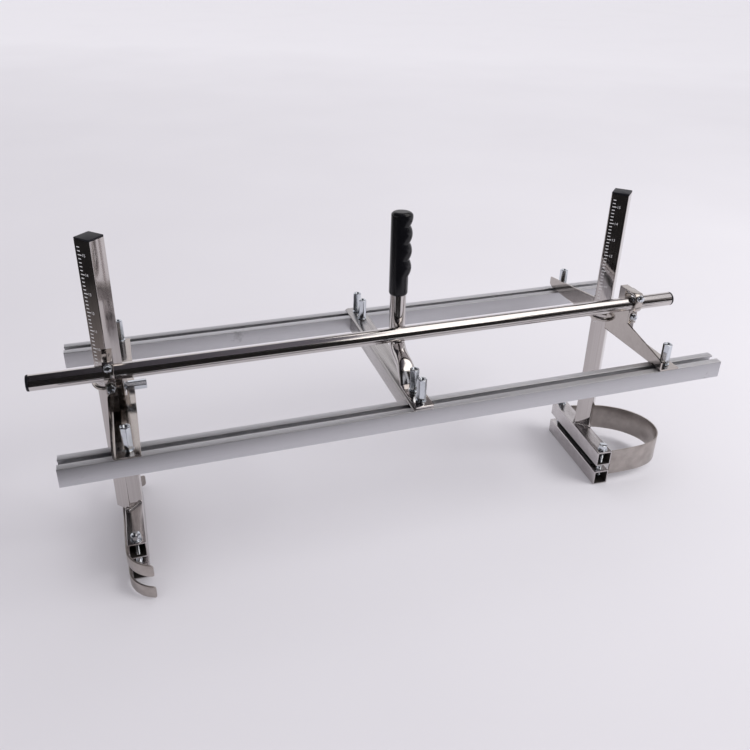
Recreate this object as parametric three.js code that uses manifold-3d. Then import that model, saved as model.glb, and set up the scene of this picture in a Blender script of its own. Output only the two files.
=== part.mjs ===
import * as THREE from "three";
import { mergeVertices } from "three/addons/utils/BufferGeometryUtils.js";
import Module from "manifold-3d";

// Chainsaw mill in millimetres. X runs along the rails from the saw side to the
// nose side, Y runs from the handlebar side to the rear, and Z is up.

// Rails: two extruded aluminium bars with a bolt slot along the top
const rail_length = 910;
const rail_width = 30;
const rail_height = 25;
const frame_depth = 316;
const rail_wall = 2;
const slot_width = 8.4;
const slot_lip = 2.6;
const slot_room_width = 16;
const slot_room_depth = 7;

// Depth posts: square tube set corner forward
const post_side = 25;
const post_wall = 1.5;
const post_length = 400;
const post_rise = 215;
const saw_post_in = 64.5;
const nose_post_in = 103.5;
const cap_thickness = 2.6;
const cap_plug_length = 12;
const cap_plug_wall = 1.6;

// Brackets: folded sheet that carries a post and the handlebar
const sheet = 2.5;
const post_past_web = 3.5;
const foot_width = 32;
const foot_short = 4;
const web_tip_height = 14;
const web_front_height = 35;
const web_rear_height = 47;
const web_rear_tip_height = 19;
const web_rear_toe_height = 3;
const web_rear_toe_run = 12;
const tip_cut = 4;
const tip_cut_rise = 2;
const relief_radius = 2.5;
const relief_back = 17;
const door_reach = 13.7;
const door_height = 42;
const notch_play = 0.5;

// Handlebar: polished tube with a plug in each end
const bar_diameter = 20;
const bar_wall = 1.5;
const bar_past_left = 23;
const bar_short_right = 39.5;
const bar_y = -67;
const bar_z = 66;
const plug_rim = 3;
const plug_reach = 14;
const plug_round = 1;

// Bar clip: a block on the bracket and a bent strap over the bar
const clip_width = 12;
const block_front_y = -69.2;
const block_top = 84;
const block_bottom = 11;
const block_rear_y = -39;
const block_mouth_y = -52.5;
const block_mouth_z = 72;
const seat_play = 0.3;
const strap_thickness = 3;
const strap_top = 85;
const strap_bottom = 35.5;
const strap_tail_y = -54;
const strap_bend_radius = 4.5;
const clip_bolt_diameter = 5;
const clip_head_width = 8;
const clip_head_height = 4;
const clip_washer_diameter = 10;
const clip_washer_thickness = 1;
const clip_bolt_upper_z = 79.3;
const clip_bolt_lower_z = 46;
const clip_bolt_reach = 11;

// U-bolt and saddle plate that squeeze the post
const u_rod_diameter = 6;
const u_half_spacing = 24.5;
const u_height = 20;
const u_bend_start = 2;
const u_bend_reach = 15.5;
const u_leg_reach = 44;
const saddle_thickness = 3;
const saddle_bottom = 6;
const saddle_top = 40;
const saddle_half_width = 32;
const saddle_stand = 16.7;

// Long hex nuts and the slot bolts they sit on
const nut_width = 11.5;
const long_nut_height = 31;
const u_nut_length = 27;
const nut_face_in = 0.3;
const head_face_in = 0.15;
const nut_chamfer_slope = 0.55;
const washer_diameter = 14;
const washer_thickness = 1.2;
const stud_diameter = 6;
const stud_rise = 27;
const slot_head_side = 14;
const slot_head_height = 4;
const plain_head_width = 10;
const plain_head_height = 4;
const bolt_in_foot = 18;
const thread_play = 0.08;
const hole_play = 0.5;

// Centre brace and push handle
const brace_x = -25;
const brace_width = 27.5;
const brace_sheet = 3;
const brace_drop = 22;
const brace_bolt_in = 15.5;
const inner_bolt_front_in = 27;
const inner_bolt_rear_in = 26;
const handle_diameter = 22;
const handle_behind_bar = 24;
const handle_rise = 224;
const handle_bend_z = 52;
const handle_foot_width = 26;
const handle_foot_thickness = 3;
const handle_foot_run = 44;
const handle_flat_power = 6;
const handle_forward_shares = [0, 0.06, 0.22, 0.45, 0.68, 0.87, 1];
const handle_height_shares = [1, 0.76, 0.58, 0.47, 0.37, 0.2, 0];
const handle_flat_shares = [0, 0, 0, 0.06, 0.3, 0.75, 1];

// Rubber grip: round sleeve with four finger swells
const grip_bottom = 115;
const grip_top = 230;
const grip_radius = 12.7;
const grip_swell = 3.5;
const grip_swell_count = 4;
const grip_swell_start = 142;
const grip_swell_pitch = 23.25;
const grip_swell_turn = -19;
const grip_swell_power = 1.6;
const grip_swell_rings = 6;
const grip_dome = 4.5;
const grip_dome_rings = 4;
const grip_dome_pull_share = 1.4;
const grip_lip = 2;

// Jaws: square tubes that hold the saw's guide bar between rubber pads
const jaw_side = 25;
const jaw_wall = 2;
const jaw_length = 160;
const jaw_front_y = -90;
const jaw_gap = 12;
const saw_jaw_offset = 5;
const nose_jaw_offset = -9;
const nose_jaw_turn = -3.4;
const pad_width = 19;
const pad_strip = 1.4;
const pad_land = 3.4;
const pad_land_length = 34;
const pad_end_margin = 20;
const jaw_bolt_in = 8.5;
const jaw_bolt_diameter = 8;
const jaw_head_width = 12;
const jaw_head_height = 5.4;
const jaw_washer_diameter = 15;
const jaw_washer_thickness = 1.6;
const jaw_spring_washer_diameter = 12.6;
const jaw_spring_washer_thickness = 2.2;
const jaw_nut_height = 6.5;
const jaw_bolt_past_nut = 3;
const weld_leg = 2.6;

// Nose guard: a bent strip in the shape of a D
const guard_height = 45;
const guard_thickness = 2;
const guard_reach = 109;
const guard_out_shares = [0, 0.299, 0.587, 0.806, 0.95, 1, 0.945, 0.767, 0.438, 0];
const guard_along_shares = [-0.98, -0.968, -0.916, -0.794, -0.575, -0.275, 0.038, 0.356, 0.625, 0.75];

// Saw-side hooks: strips that curl forward and back off the jaws
const hook_height = 18;
const hook_thickness = 2.5;
const hook_radius = 45;
const hook_angle = 74;
const hook_start_out = 2;
const hook_corner = 4;

// Fit and drawing fineness
const seat_gap = 0.3;
const close_gap = 0.1;
const round_steps = 8;
const fine_steps = 14;
const bend_steps = 14;
const nut_turn_steps = 24;
const overcut = 2;

const wasm = await Module();
wasm.setup();

const half_turn = Math.PI;
const quarter_turn = Math.PI / 2;
const third_turn = Math.PI / 3;
const root_two = Math.SQRT2;
const root_three = Math.sqrt(3);
const degree = Math.PI / 180;

const rail_y = (frame_depth - rail_width) / 2;
const saw_post_x = saw_post_in - rail_length / 2;
const nose_post_x = rail_length / 2 - nose_post_in;
const post_half_diagonal = post_side / root_two;
const bar_radius = bar_diameter / 2;
const stud_radius = stud_diameter / 2;
const post_bottom = post_rise - post_length;
const handle_y = bar_y + handle_behind_bar;

// Solids are plain three.js geometry handed to the boolean kernel
function solid(geometry) {
  const bare = geometry.clone();
  bare.deleteAttribute("normal");
  bare.deleteAttribute("uv");
  const merged = mergeVertices(bare, 1e-4);
  const mesh = new wasm.Mesh({
    numProp: 3,
    vertProperties: new Float32Array(merged.attributes.position.array),
    triVerts: new Uint32Array(merged.index.array),
  });
  mesh.merge();
  return new wasm.Manifold(mesh);
}

function joined(first, ...others) {
  return others.reduce((sum, next) => sum.add(next), first);
}

function cutFrom(body, ...tools) {
  return tools.reduce((rest, tool) => rest.subtract(tool), body);
}

// Flat outlines
function outline(points) {
  return new THREE.Shape(points.map(([a, b]) => new THREE.Vector2(a, b)));
}

function rectangle(a0, a1, b0, b1) {
  return outline([[a0, b0], [a1, b0], [a1, b1], [a0, b1]]);
}

function disc(radius, a = 0, b = 0) {
  const shape = new THREE.Shape();
  shape.absarc(a, b, radius, 0, 2 * half_turn);
  return shape;
}

function hexagon(width, a = 0, b = 0) {
  const corner = width / root_three;
  const points = [];
  for (let i = 0; i < 6; i += 1) {
    points.push([a + corner * Math.cos(i * third_turn), b + corner * Math.sin(i * third_turn)]);
  }
  return outline(points);
}

function diamond(side, a = 0, b = 0) {
  const reach = side / root_two;
  return outline([[a + reach, b], [a, b + reach], [a - reach, b], [a, b - reach]]);
}

// Extrusions along each axis: outlines are drawn in the two axes that follow it
const x_axis = new THREE.Vector3(1, 0, 0);
const y_axis = new THREE.Vector3(0, 1, 0);
const z_axis = new THREE.Vector3(0, 0, 1);
const turn_to_x = new THREE.Matrix4().makeBasis(y_axis, z_axis, x_axis);
const turn_to_y = new THREE.Matrix4().makeBasis(z_axis, x_axis, y_axis);

function extruded(shape, from, to, steps) {
  const settings = { depth: to - from, bevelEnabled: false, curveSegments: steps };
  return new THREE.ExtrudeGeometry(shape, settings).translate(0, 0, from);
}

function alongX(shape, from, to, steps = round_steps) {
  return solid(extruded(shape, from, to, steps).applyMatrix4(turn_to_x));
}

function alongY(shape, from, to, steps = round_steps) {
  return solid(extruded(shape, from, to, steps).applyMatrix4(turn_to_y));
}

function alongZ(shape, from, to, steps = round_steps) {
  return solid(extruded(shape, from, to, steps));
}

// A strip of even thickness bent along a flat path
function ribbonOutline(path, thickness) {
  const near = [];
  const far = [];
  path.forEach(([a, b], i) => {
    const [pa, pb] = path[Math.max(i - 1, 0)];
    const [na, nb] = path[Math.min(i + 1, path.length - 1)];
    const run = Math.hypot(na - pa, nb - pb);
    const da = -(nb - pb) / run * thickness / 2;
    const db = (na - pa) / run * thickness / 2;
    near.push([a + da, b + db]);
    far.unshift([a - da, b - db]);
  });
  return outline([...near, ...far]);
}

function arcPoints(a, b, radius, start, end, steps, stretch = 1) {
  const points = [];
  for (let i = 0; i <= steps; i += 1) {
    const angle = start + (end - start) * i / steps;
    points.push([a + radius * stretch * Math.cos(angle), b + radius * Math.sin(angle)]);
  }
  return points;
}

// Turned solids about Z from a closed profile of radius and height
function turned(profile, steps = 2 * round_steps) {
  const points = profile.map(([r, z]) => new THREE.Vector2(r, z));
  points.push(points[0].clone());
  return solid(new THREE.LatheGeometry(points, steps).rotateX(quarter_turn));
}

const group = new THREE.Group();
group.name = "chainsaw_mill";

const finishes = {
  anodised: { color: 0xc4c6ca, roughness: 0.4, metalness: 0.9 },
  nickel: { color: 0xb9b2a8, roughness: 0.15, metalness: 1 },
  zinc: { color: 0xc9d2dc, roughness: 0.28, metalness: 0.95 },
  steel: { color: 0xa9a49d, roughness: 0.3, metalness: 1 },
  plastic: { color: 0x1b1b1d, roughness: 0.5, metalness: 0 },
  rubber: { color: 0x18181a, roughness: 0.7, metalness: 0 },
};

function piece(name, body, finish) {
  const mesh = body.getMesh();
  const geometry = new THREE.BufferGeometry();
  const positions = new Float32Array(mesh.numVert * 3);
  for (let i = 0; i < mesh.numVert; i += 1) {
    for (let k = 0; k < 3; k += 1) {
      positions[3 * i + k] = mesh.vertProperties[i * mesh.numProp + k];
    }
  }
  geometry.setAttribute("position", new THREE.BufferAttribute(positions, 3));
  geometry.setIndex(new THREE.BufferAttribute(new Uint32Array(mesh.triVerts), 1));
  geometry.computeVertexNormals();
  const part = new THREE.Mesh(geometry, new THREE.MeshStandardMaterial(finishes[finish]));
  part.name = name;
  group.add(part);
}

// Hex nut or head with its corners turned down at both ends, standing on z = 0
function hexBlock(width, height, face_in) {
  const corner = width / root_three;
  const flat_edge = width / 2 - face_in;
  const rise = (corner + overcut - flat_edge) * nut_chamfer_slope;
  const barrel = turned([
    [0, 0],
    [flat_edge, 0],
    [corner + overcut, rise],
    [corner + overcut, height - rise],
    [flat_edge, height],
    [0, height],
  ], nut_turn_steps);
  return alongZ(hexagon(width), 0, height).intersect(barrel);
}

function longNut(length) {
  const washer = alongZ(disc(washer_diameter / 2), 0, washer_thickness);
  const nut = hexBlock(nut_width, length, nut_face_in).translate([0, 0, washer_thickness]);
  const bore = alongZ(disc(stud_radius + thread_play), -overcut, length + washer_thickness + overcut);
  return cutFrom(joined(washer, nut), bore);
}

// Rails, each one extrusion with an open bolt slot and hollows beside and below it
function rail(y) {
  const half = rail_width / 2;
  const slot = slot_width / 2;
  const room = slot_room_width / 2;
  const room_top = -slot_lip;
  const room_floor = room_top - slot_room_depth;
  const left = -rail_length / 2;
  const right = rail_length / 2;
  const channel = (a0, a1, b0, b1) => alongX(
    rectangle(y + a0, y + a1, b0, b1),
    left - overcut,
    right + overcut,
  );
  return cutFrom(
    alongX(rectangle(y - half, y + half, -rail_height, 0), left, right),
    channel(-slot, slot, room_top - close_gap, overcut),
    channel(-room, room, room_floor, room_top),
    channel(rail_wall - half, half - rail_wall, rail_wall - rail_height, room_floor - rail_wall),
    channel(rail_wall - half, -room - rail_wall, room_floor, room_top),
    channel(room + rail_wall, half - rail_wall, room_floor, room_top),
  );
}

piece("front_rail", rail(-rail_y), "anodised");
piece("rear_rail", rail(rail_y), "anodised");

// Slot bolt with a square head under the slot's lips, and the long nut on it
function slotBolt(x, y) {
  const head_top = -slot_lip - close_gap;
  const half = slot_head_side / 2;
  const head = alongZ(
    rectangle(x - half, x + half, y - half, y + half),
    head_top - slot_head_height,
    head_top,
  );
  return joined(head, alongZ(disc(stud_radius, x, y), head_top - close_gap, stud_rise));
}

function slotFastening(name, x, y, seat) {
  piece(`${name}_slot_bolt`, slotBolt(x, y), "zinc");
  piece(`${name}_long_nut`, longNut(long_nut_height).translate([x, y, seat + close_gap]), "zinc");
}

// Bracket sheet: a standing web, a foot across both rails and two doors beside the post
function bracket(web_x) {
  const half = frame_depth / 2;
  const seat_radius = bar_radius + seat_play;
  const horn = [
    [block_rear_y, block_top],
    [block_mouth_y, block_top],
    [block_mouth_y, block_mouth_z],
    ...arcPoints(bar_y, bar_z, seat_radius, 0, -quarter_turn, round_steps),
    [block_front_y, bar_z - seat_radius],
  ];
  const web = alongX(outline([
    [-half, 0],
    [half - foot_short - web_rear_toe_run, 0],
    [half - foot_short, web_rear_toe_height + foot_short],
    [half - foot_short, web_rear_tip_height],
    [block_rear_y, web_rear_height],
    ...horn,
    [block_front_y, web_front_height],
    [tip_cut - half, web_tip_height + tip_cut_rise],
    [-half, web_tip_height],
  ]), web_x, web_x + sheet);
  const foot = alongZ(rectangle(web_x, web_x + foot_width, -half, half - foot_short), 0, sheet);
  const block = alongX(
    outline([[block_front_y, block_bottom], [block_rear_y, block_bottom], ...horn]),
    web_x + sheet - close_gap,
    web_x + clip_width,
  );
  const gate = post_half_diagonal + notch_play;
  const doors = [-1, 1].map((side) => alongZ(
    rectangle(
      web_x,
      web_x + sheet + door_reach,
      Math.min(side * gate, side * (gate + sheet)),
      Math.max(side * gate, side * (gate + sheet)),
    ),
    0,
    door_height,
  ));
  const post_corner = web_x + post_past_web + post_half_diagonal;
  const gateway = alongZ(
    rectangle(web_x - overcut, post_corner + notch_play, -gate, gate),
    -overcut,
    block_top,
  );
  const leg_holes = [-1, 1].map((side) => alongX(
    disc((u_rod_diameter + hole_play) / 2, side * u_half_spacing, u_height),
    web_x - overcut,
    web_x + sheet + overcut,
  ));
  const bolt_holes = [-1, 1].map((side) => alongZ(
    disc(stud_radius + hole_play, web_x + bolt_in_foot, side * rail_y),
    -overcut,
    sheet + overcut,
  ));
  const relief = alongX(
    disc(relief_radius, relief_back - half, sheet + notch_play),
    web_x - overcut,
    web_x + sheet,
  );
  const screw_holes = [clip_bolt_upper_z, clip_bolt_lower_z].map((z) => alongY(
    disc(clip_bolt_diameter / 2 + thread_play, z, web_x + clip_width / 2),
    block_front_y - overcut,
    block_rear_y - overcut,
  ));
  const body = joined(web, foot, block, ...doors);
  return cutFrom(body, gateway, ...leg_holes, ...bolt_holes, relief, ...screw_holes);
}

// Strap: up the front of the block, round the bar and back over its top
function strapPath() {
  const half = strap_thickness / 2;
  const wrap = bar_radius + seat_gap + half;
  const leg_y = block_front_y - seat_gap - half;
  const leave = Math.acos((leg_y - bar_y) / wrap);
  const front_y = bar_y - wrap;
  const top_z = strap_top - half;
  return [
    [leg_y, strap_bottom],
    ...arcPoints(bar_y, bar_z, wrap, -leave, -half_turn, round_steps),
    ...arcPoints(
      front_y + strap_bend_radius,
      top_z - strap_bend_radius,
      strap_bend_radius,
      half_turn,
      quarter_turn,
      round_steps / 2,
    ),
    [strap_tail_y, top_z],
  ];
}

function strap(x) {
  const band = alongX(ribbonOutline(strapPath(), strap_thickness), x, x + clip_width);
  const holes = [clip_bolt_upper_z, clip_bolt_lower_z].map((z) => alongY(
    disc((clip_bolt_diameter + hole_play) / 2, z, x + clip_width / 2),
    bar_y - bar_diameter,
    z > bar_z ? bar_y - strap_bend_radius : block_front_y,
  ));
  return cutFrom(band, ...holes);
}

// Clip screw: hex head and washer in front of the strap, shank into the block
function clipBolt(x, seat_y, z) {
  const washer_front = seat_y - clip_washer_thickness;
  const head = hexBlock(clip_head_width, clip_head_height, head_face_in)
    .rotate([90, 0, 0])
    .translate([x, washer_front + close_gap, z]);
  const washer = alongY(disc(clip_washer_diameter / 2, z, x), washer_front, seat_y);
  const shank = alongY(
    disc(clip_bolt_diameter / 2, z, x),
    washer_front - close_gap * 2,
    block_mouth_y + clip_bolt_reach,
  );
  return joined(head, washer, shank);
}

// U-bolt: threaded legs along X joined by one bend behind the post
function uBolt(web_x) {
  const rod = u_rod_diameter / 2;
  const bend_x = web_x - u_bend_start;
  const bend = arcPoints(
    bend_x,
    0,
    u_half_spacing,
    quarter_turn,
    3 * quarter_turn,
    bend_steps,
    u_bend_reach / u_half_spacing,
  ).map(([x, y]) => new THREE.Vector3(x, y, u_height));
  const ends = [1, -1].map((side) => new THREE.Vector3(
    web_x + u_leg_reach,
    side * u_half_spacing,
    u_height,
  ));
  const path = new THREE.CurvePath();
  const stops = [ends[0], ...bend, ends[1]];
  for (let i = 1; i < stops.length; i += 1) {
    path.add(new THREE.LineCurve3(stops[i - 1], stops[i]));
  }
  const legs = ends.map((end) => alongX(disc(rod, end.y, end.z), bend_x, end.x));
  const bow = new THREE.ExtrudeGeometry(disc(rod), {
    extrudePath: new THREE.CatmullRomCurve3(bend),
    steps: bend_steps,
    curveSegments: round_steps / 2,
  });
  return joined(solid(bow), ...legs);
}

// Saddle plate: flat ears either side of a square corner that fits the post
function saddle(web_x) {
  const post_corner = web_x + post_past_web + post_half_diagonal;
  const inner = web_x + saddle_stand;
  const grip_play = close_gap * root_two;
  const inner_tip = post_corner + grip_play;
  const outer_tip = inner_tip + saddle_thickness * root_two;
  const outer = inner + saddle_thickness;
  const plate = alongZ(outline([
    [inner, -saddle_half_width],
    [outer, -saddle_half_width],
    [outer, outer - outer_tip],
    [outer_tip, 0],
    [outer, outer_tip - outer],
    [outer, saddle_half_width],
    [inner, saddle_half_width],
    [inner, inner_tip - inner],
    [inner_tip, 0],
    [inner, inner - inner_tip],
  ]), saddle_bottom, saddle_top);
  const holes = [-1, 1].map((side) => alongX(
    disc((u_rod_diameter + hole_play) / 2, side * u_half_spacing, u_height),
    inner - overcut,
    outer + overcut,
  ));
  return cutFrom(plate, ...holes);
}

function bracketSet(side, post_x) {
  const web_x = post_x - post_past_web;
  piece(`${side}_bracket`, bracket(web_x), "nickel");
  piece(`${side}_bar_strap`, strap(web_x), "nickel");
  const screw_x = web_x + clip_width / 2;
  const strap_face = bar_y - bar_radius - seat_gap - strap_thickness - close_gap;
  const leg_face = block_front_y - seat_gap - strap_thickness - close_gap;
  piece(`${side}_upper_clip_bolt`, clipBolt(screw_x, strap_face, clip_bolt_upper_z), "zinc");
  piece(`${side}_lower_clip_bolt`, clipBolt(screw_x, leg_face, clip_bolt_lower_z), "zinc");
  piece(`${side}_u_bolt`, uBolt(web_x), "nickel");
  piece(`${side}_post_saddle`, saddle(web_x), "nickel");
  const nut_seat = web_x + saddle_stand + saddle_thickness + close_gap;
  for (const [end, way] of [["front", -1], ["rear", 1]]) {
    const nut = longNut(u_nut_length)
      .rotate([0, 90, 0])
      .translate([nut_seat, way * u_half_spacing, u_height]);
    piece(`${side}_${end}_u_bolt_nut`, nut, "zinc");
    slotFastening(`${side}_${end}`, web_x + bolt_in_foot, way * rail_y, sheet);
  }
}

bracketSet("saw", saw_post_x);
bracketSet("nose", nose_post_x);

// Handlebar and its end plugs
const bar_left = -rail_length / 2 - bar_past_left;
const bar_right = rail_length / 2 - bar_short_right;
const bar_section = disc(bar_radius, bar_y, bar_z);
bar_section.holes.push(disc(bar_radius - bar_wall, bar_y, bar_z));
piece("handlebar", alongX(bar_section, bar_left, bar_right, fine_steps), "nickel");

function barPlug(end_x, way) {
  const stem = bar_radius - bar_wall - close_gap;
  const rim = bar_radius;
  const plug = turned([
    [0, -plug_reach],
    [stem, -plug_reach],
    [stem, close_gap],
    [rim, close_gap],
    [rim, plug_rim - plug_round],
    [rim - plug_round, plug_rim],
    [0, plug_rim],
  ]);
  return plug.rotate([0, way * 90, 0]).translate([end_x, bar_y, bar_z]);
}

piece("left_bar_plug", barPlug(bar_left, -1), "plastic");
piece("right_bar_plug", barPlug(bar_right, 1), "plastic");

// Centre brace: a folded strip bolted across both rails
const brace_bolt_x = brace_x + brace_bolt_in;
const brace_half = frame_depth / 2;
const inner_bolt_front_y = inner_bolt_front_in - rail_y;
const inner_bolt_rear_y = rail_y - inner_bolt_rear_in;
const brace_bolt_ys = [-rail_y, inner_bolt_front_y, inner_bolt_rear_y, rail_y];
const foot_top = brace_sheet + close_gap + handle_foot_thickness;

function centreBrace() {
  const plate = alongZ(rectangle(
    brace_x,
    brace_x + brace_width,
    -brace_half,
    brace_half,
  ), 0, brace_sheet);
  const inside = rail_y - rail_width / 2 - notch_play;
  const skirt = alongX(
    outline([[-inside, overcut - brace_drop], [overcut - inside, -brace_drop],
      [inside - overcut, -brace_drop], [inside, overcut - brace_drop],
      [inside, brace_sheet], [-inside, brace_sheet]]),
    brace_x,
    brace_x + brace_sheet,
  );
  const holes = brace_bolt_ys.map((y) => alongZ(
    disc(stud_radius + hole_play, brace_bolt_x, y),
    -overcut,
    brace_sheet + overcut,
  ));
  return cutFrom(joined(plate, skirt), ...holes);
}

piece("centre_brace", centreBrace(), "steel");

// A lofted skin through rings of equal point count, closed at both ends
function lofted(rings) {
  const count = rings[0].length;
  const points = rings.flat();
  const faces = [];
  for (let i = 1; i < rings.length; i += 1) {
    for (let k = 0; k < count; k += 1) {
      const next = (k + 1) % count;
      const low = (i - 1) * count;
      const high = i * count;
      faces.push(low + k, low + next, high + next, low + k, high + next, high + k);
    }
  }
  const last = (rings.length - 1) * count;
  for (let k = 1; k < count - 1; k += 1) {
    faces.push(0, k + 1, k, last, last + k, last + k + 1);
  }
  const geometry = new THREE.BufferGeometry().setFromPoints(points);
  geometry.setIndex(faces);
  return solid(geometry);
}

// Push handle: a round tube bent forward and pressed flat into a bolted foot
function handleStations() {
  const foot_z = foot_top - handle_foot_thickness / 2;
  const run = handle_foot_run - rail_y - handle_y;
  const fall = handle_bend_z - foot_z;
  const bend = handle_forward_shares.map((forward, i) => new THREE.Vector3(
    handle_flat_shares[i],
    handle_y + run * forward,
    foot_z + fall * handle_height_shares[i],
  ));
  const smooth = new THREE.CatmullRomCurve3(bend).getPoints(bend_steps);
  return [
    new THREE.Vector3(0, handle_y, handle_rise),
    ...smooth,
    new THREE.Vector3(1, -frame_depth / 2, foot_z),
  ];
}

function handleRing(stations, i) {
  const here = stations[i];
  const flat = Math.min(Math.max(here.x, 0), 1);
  const before = stations[Math.max(i - 1, 0)];
  const after = stations[Math.min(i + 1, stations.length - 1)];
  const run = Math.hypot(after.y - before.y, after.z - before.z);
  const across_y = (after.z - before.z) / run;
  const across_z = -(after.y - before.y) / run;
  const radius = handle_diameter / 2;
  const half_width = THREE.MathUtils.lerp(radius, handle_foot_width / 2, flat);
  const half_thick = THREE.MathUtils.lerp(radius, handle_foot_thickness / 2, flat);
  const power = 2 / THREE.MathUtils.lerp(2, handle_flat_power, flat);
  const ring = [];
  for (let k = 0; k < 2 * round_steps; k += 1) {
    const angle = k * half_turn / round_steps;
    const side = Math.sign(Math.cos(angle)) * Math.abs(Math.cos(angle)) ** power;
    const rise = Math.sign(Math.sin(angle)) * Math.abs(Math.sin(angle)) ** power;
    ring.push(new THREE.Vector3(
      brace_bolt_x + side * half_width,
      here.y + across_y * rise * half_thick,
      here.z + across_z * rise * half_thick,
    ));
  }
  return ring;
}

function pushHandle() {
  const stations = handleStations();
  const body = lofted(stations.map((_, i) => handleRing(stations, i)));
  const holes = brace_bolt_ys.slice(0, 2).map((y) => alongZ(
    disc(stud_radius + hole_play, brace_bolt_x, y),
    0,
    foot_top + overcut,
  ));
  return cutFrom(body, ...holes);
}

piece("push_handle", pushHandle(), "nickel");

// Finger swells stand out on one side of the grip and die away round it
function gripRing(z, inset) {
  const phase = (z - grip_swell_start) / grip_swell_pitch;
  const wave = phase > 0 ? Math.abs(Math.sin(phase * half_turn)) : 0;
  const ring = [];
  for (let k = 0; k < 2 * fine_steps; k += 1) {
    const angle = k * half_turn / fine_steps;
    const facing = Math.max(Math.cos(angle - grip_swell_turn * degree), 0) ** grip_swell_power;
    const radius = grip_radius - inset + grip_swell * wave * facing;
    ring.push(new THREE.Vector3(
      brace_bolt_x + radius * Math.cos(angle),
      handle_y + radius * Math.sin(angle),
      z,
    ));
  }
  return ring;
}

function grip() {
  const rings = [gripRing(grip_bottom, grip_lip), gripRing(grip_bottom + grip_lip, 0)];
  rings.push(gripRing(grip_swell_start, 0));
  const crown = grip_top - grip_dome;
  const rise = crown - grip_swell_start;
  const levels = grip_swell_count * grip_swell_rings;
  for (let i = 1; i <= levels; i += 1) {
    rings.push(gripRing(grip_swell_start + rise * i / levels, 0));
  }
  for (let i = 1; i <= grip_dome_rings; i += 1) {
    const angle = i * quarter_turn / (grip_dome_rings + 1);
    const inset = grip_dome * grip_dome_pull_share * (1 - Math.cos(angle));
    rings.push(gripRing(crown + grip_dome * Math.sin(angle), inset));
  }
  const bore = alongZ(
    disc(handle_diameter / 2 + close_gap, brace_bolt_x, handle_y),
    grip_bottom - overcut,
    handle_rise + close_gap,
    round_steps,
  );
  return cutFrom(lofted(rings), bore);
}

piece("push_handle_grip", grip(), "rubber");

// Outer fastenings sit in the rail slots, inner ones have a head under the brace
slotFastening("brace_front", brace_bolt_x, -rail_y, foot_top);
slotFastening("brace_rear", brace_bolt_x, rail_y, brace_sheet);

function plainFastening(name, y, seat) {
  const head = hexBlock(plain_head_width, plain_head_height, head_face_in)
    .translate([brace_bolt_x, y, -plain_head_height - close_gap]);
  const shank = alongZ(disc(stud_radius, brace_bolt_x, y), -close_gap * 2, stud_rise);
  piece(`${name}_bolt`, joined(head, shank), "zinc");
  piece(`${name}_long_nut`, longNut(long_nut_height).translate([brace_bolt_x, y, seat + close_gap]), "zinc");
}

plainFastening("handle_foot", inner_bolt_front_y, foot_top);
plainFastening("brace_inner", inner_bolt_rear_y, brace_sheet);

// Depth posts and their caps
function post(x) {
  const section = diamond(post_side, x);
  section.holes.push(diamond(post_side - 2 * post_wall, x));
  return alongZ(section, post_bottom, post_rise);
}

function postCap(x) {
  const stem_side = post_side - 2 * post_wall - 2 * close_gap;
  const stem = diamond(stem_side, x);
  stem.holes.push(diamond(stem_side - 2 * cap_plug_wall, x));
  const plug = alongZ(stem, post_rise - cap_plug_length, post_rise + 2 * close_gap);
  const lid = alongZ(
    diamond(post_side, x),
    post_rise + close_gap,
    post_rise + cap_thickness,
  );
  return joined(lid, plug);
}

// Jaws: the upper tube is welded under the post, the lower one hangs on two bolts
const jaw_top = post_bottom - close_gap;
const jaw_bottom = jaw_top - jaw_side;
const lower_jaw_top = jaw_bottom - jaw_gap;
const lower_jaw_bottom = lower_jaw_top - jaw_side;
const jaw_rear_y = jaw_front_y + jaw_length;
const jaw_bolt_ys = [jaw_front_y + jaw_bolt_in, jaw_rear_y - jaw_bolt_in];

function squareTube(x, bottom) {
  const half = jaw_side / 2;
  const inner = half - jaw_wall;
  const section = rectangle(bottom, bottom + jaw_side, x - half, x + half);
  section.holes.push(rectangle(
    bottom + jaw_wall,
    bottom + jaw_side - jaw_wall,
    x - inner,
    x + inner,
  ));
  return alongY(section, jaw_front_y, jaw_rear_y);
}

function weldBead(post_x, jaw_x, angle) {
  const bevel = new THREE.ExtrudeGeometry(diamond(post_side + 2 * close_gap, post_x), {
    depth: close_gap,
    bevelEnabled: true,
    bevelThickness: weld_leg,
    bevelSize: weld_leg,
    bevelSegments: 1,
  });
  const half = jaw_side / 2 - seat_gap;
  const footprint = alongZ(
    rectangle(jaw_x - half, jaw_x + half, jaw_front_y, jaw_rear_y),
    jaw_top - close_gap,
    jaw_top + weld_leg - hole_play,
  );
  const below = turnedAbout(footprint, post_x, angle);
  const bead = solid(bevel).translate([0, 0, jaw_top - seat_gap]).intersect(below);
  const core = alongZ(diamond(post_side + 2 * close_gap, post_x), jaw_bottom, post_rise);
  return bead.subtract(core);
}

function upperJaw(post_x, jaw_x, angle) {
  const holes = jaw_bolt_ys.map((y) => alongZ(
    disc((jaw_bolt_diameter + hole_play) / 2, jaw_x, y),
    jaw_bottom - overcut,
    jaw_top + overcut,
  ));
  const tube = cutFrom(squareTube(jaw_x, jaw_bottom), ...holes);
  return joined(turnedAbout(tube, post_x, angle), weldBead(post_x, jaw_x, angle));
}

function lowerJaw(jaw_x) {
  const nut_bottom = lower_jaw_top - jaw_wall - jaw_nut_height;
  const nuts = jaw_bolt_ys.map((y) => alongZ(
    hexagon(jaw_head_width, jaw_x, y),
    nut_bottom,
    lower_jaw_top - jaw_wall / 2,
  ));
  const holes = jaw_bolt_ys.map((y) => alongZ(
    disc(jaw_bolt_diameter / 2 + thread_play, jaw_x, y),
    nut_bottom - close_gap,
    lower_jaw_top + overcut,
  ));
  return cutFrom(joined(squareTube(jaw_x, lower_jaw_bottom), ...nuts), ...holes);
}

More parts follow.
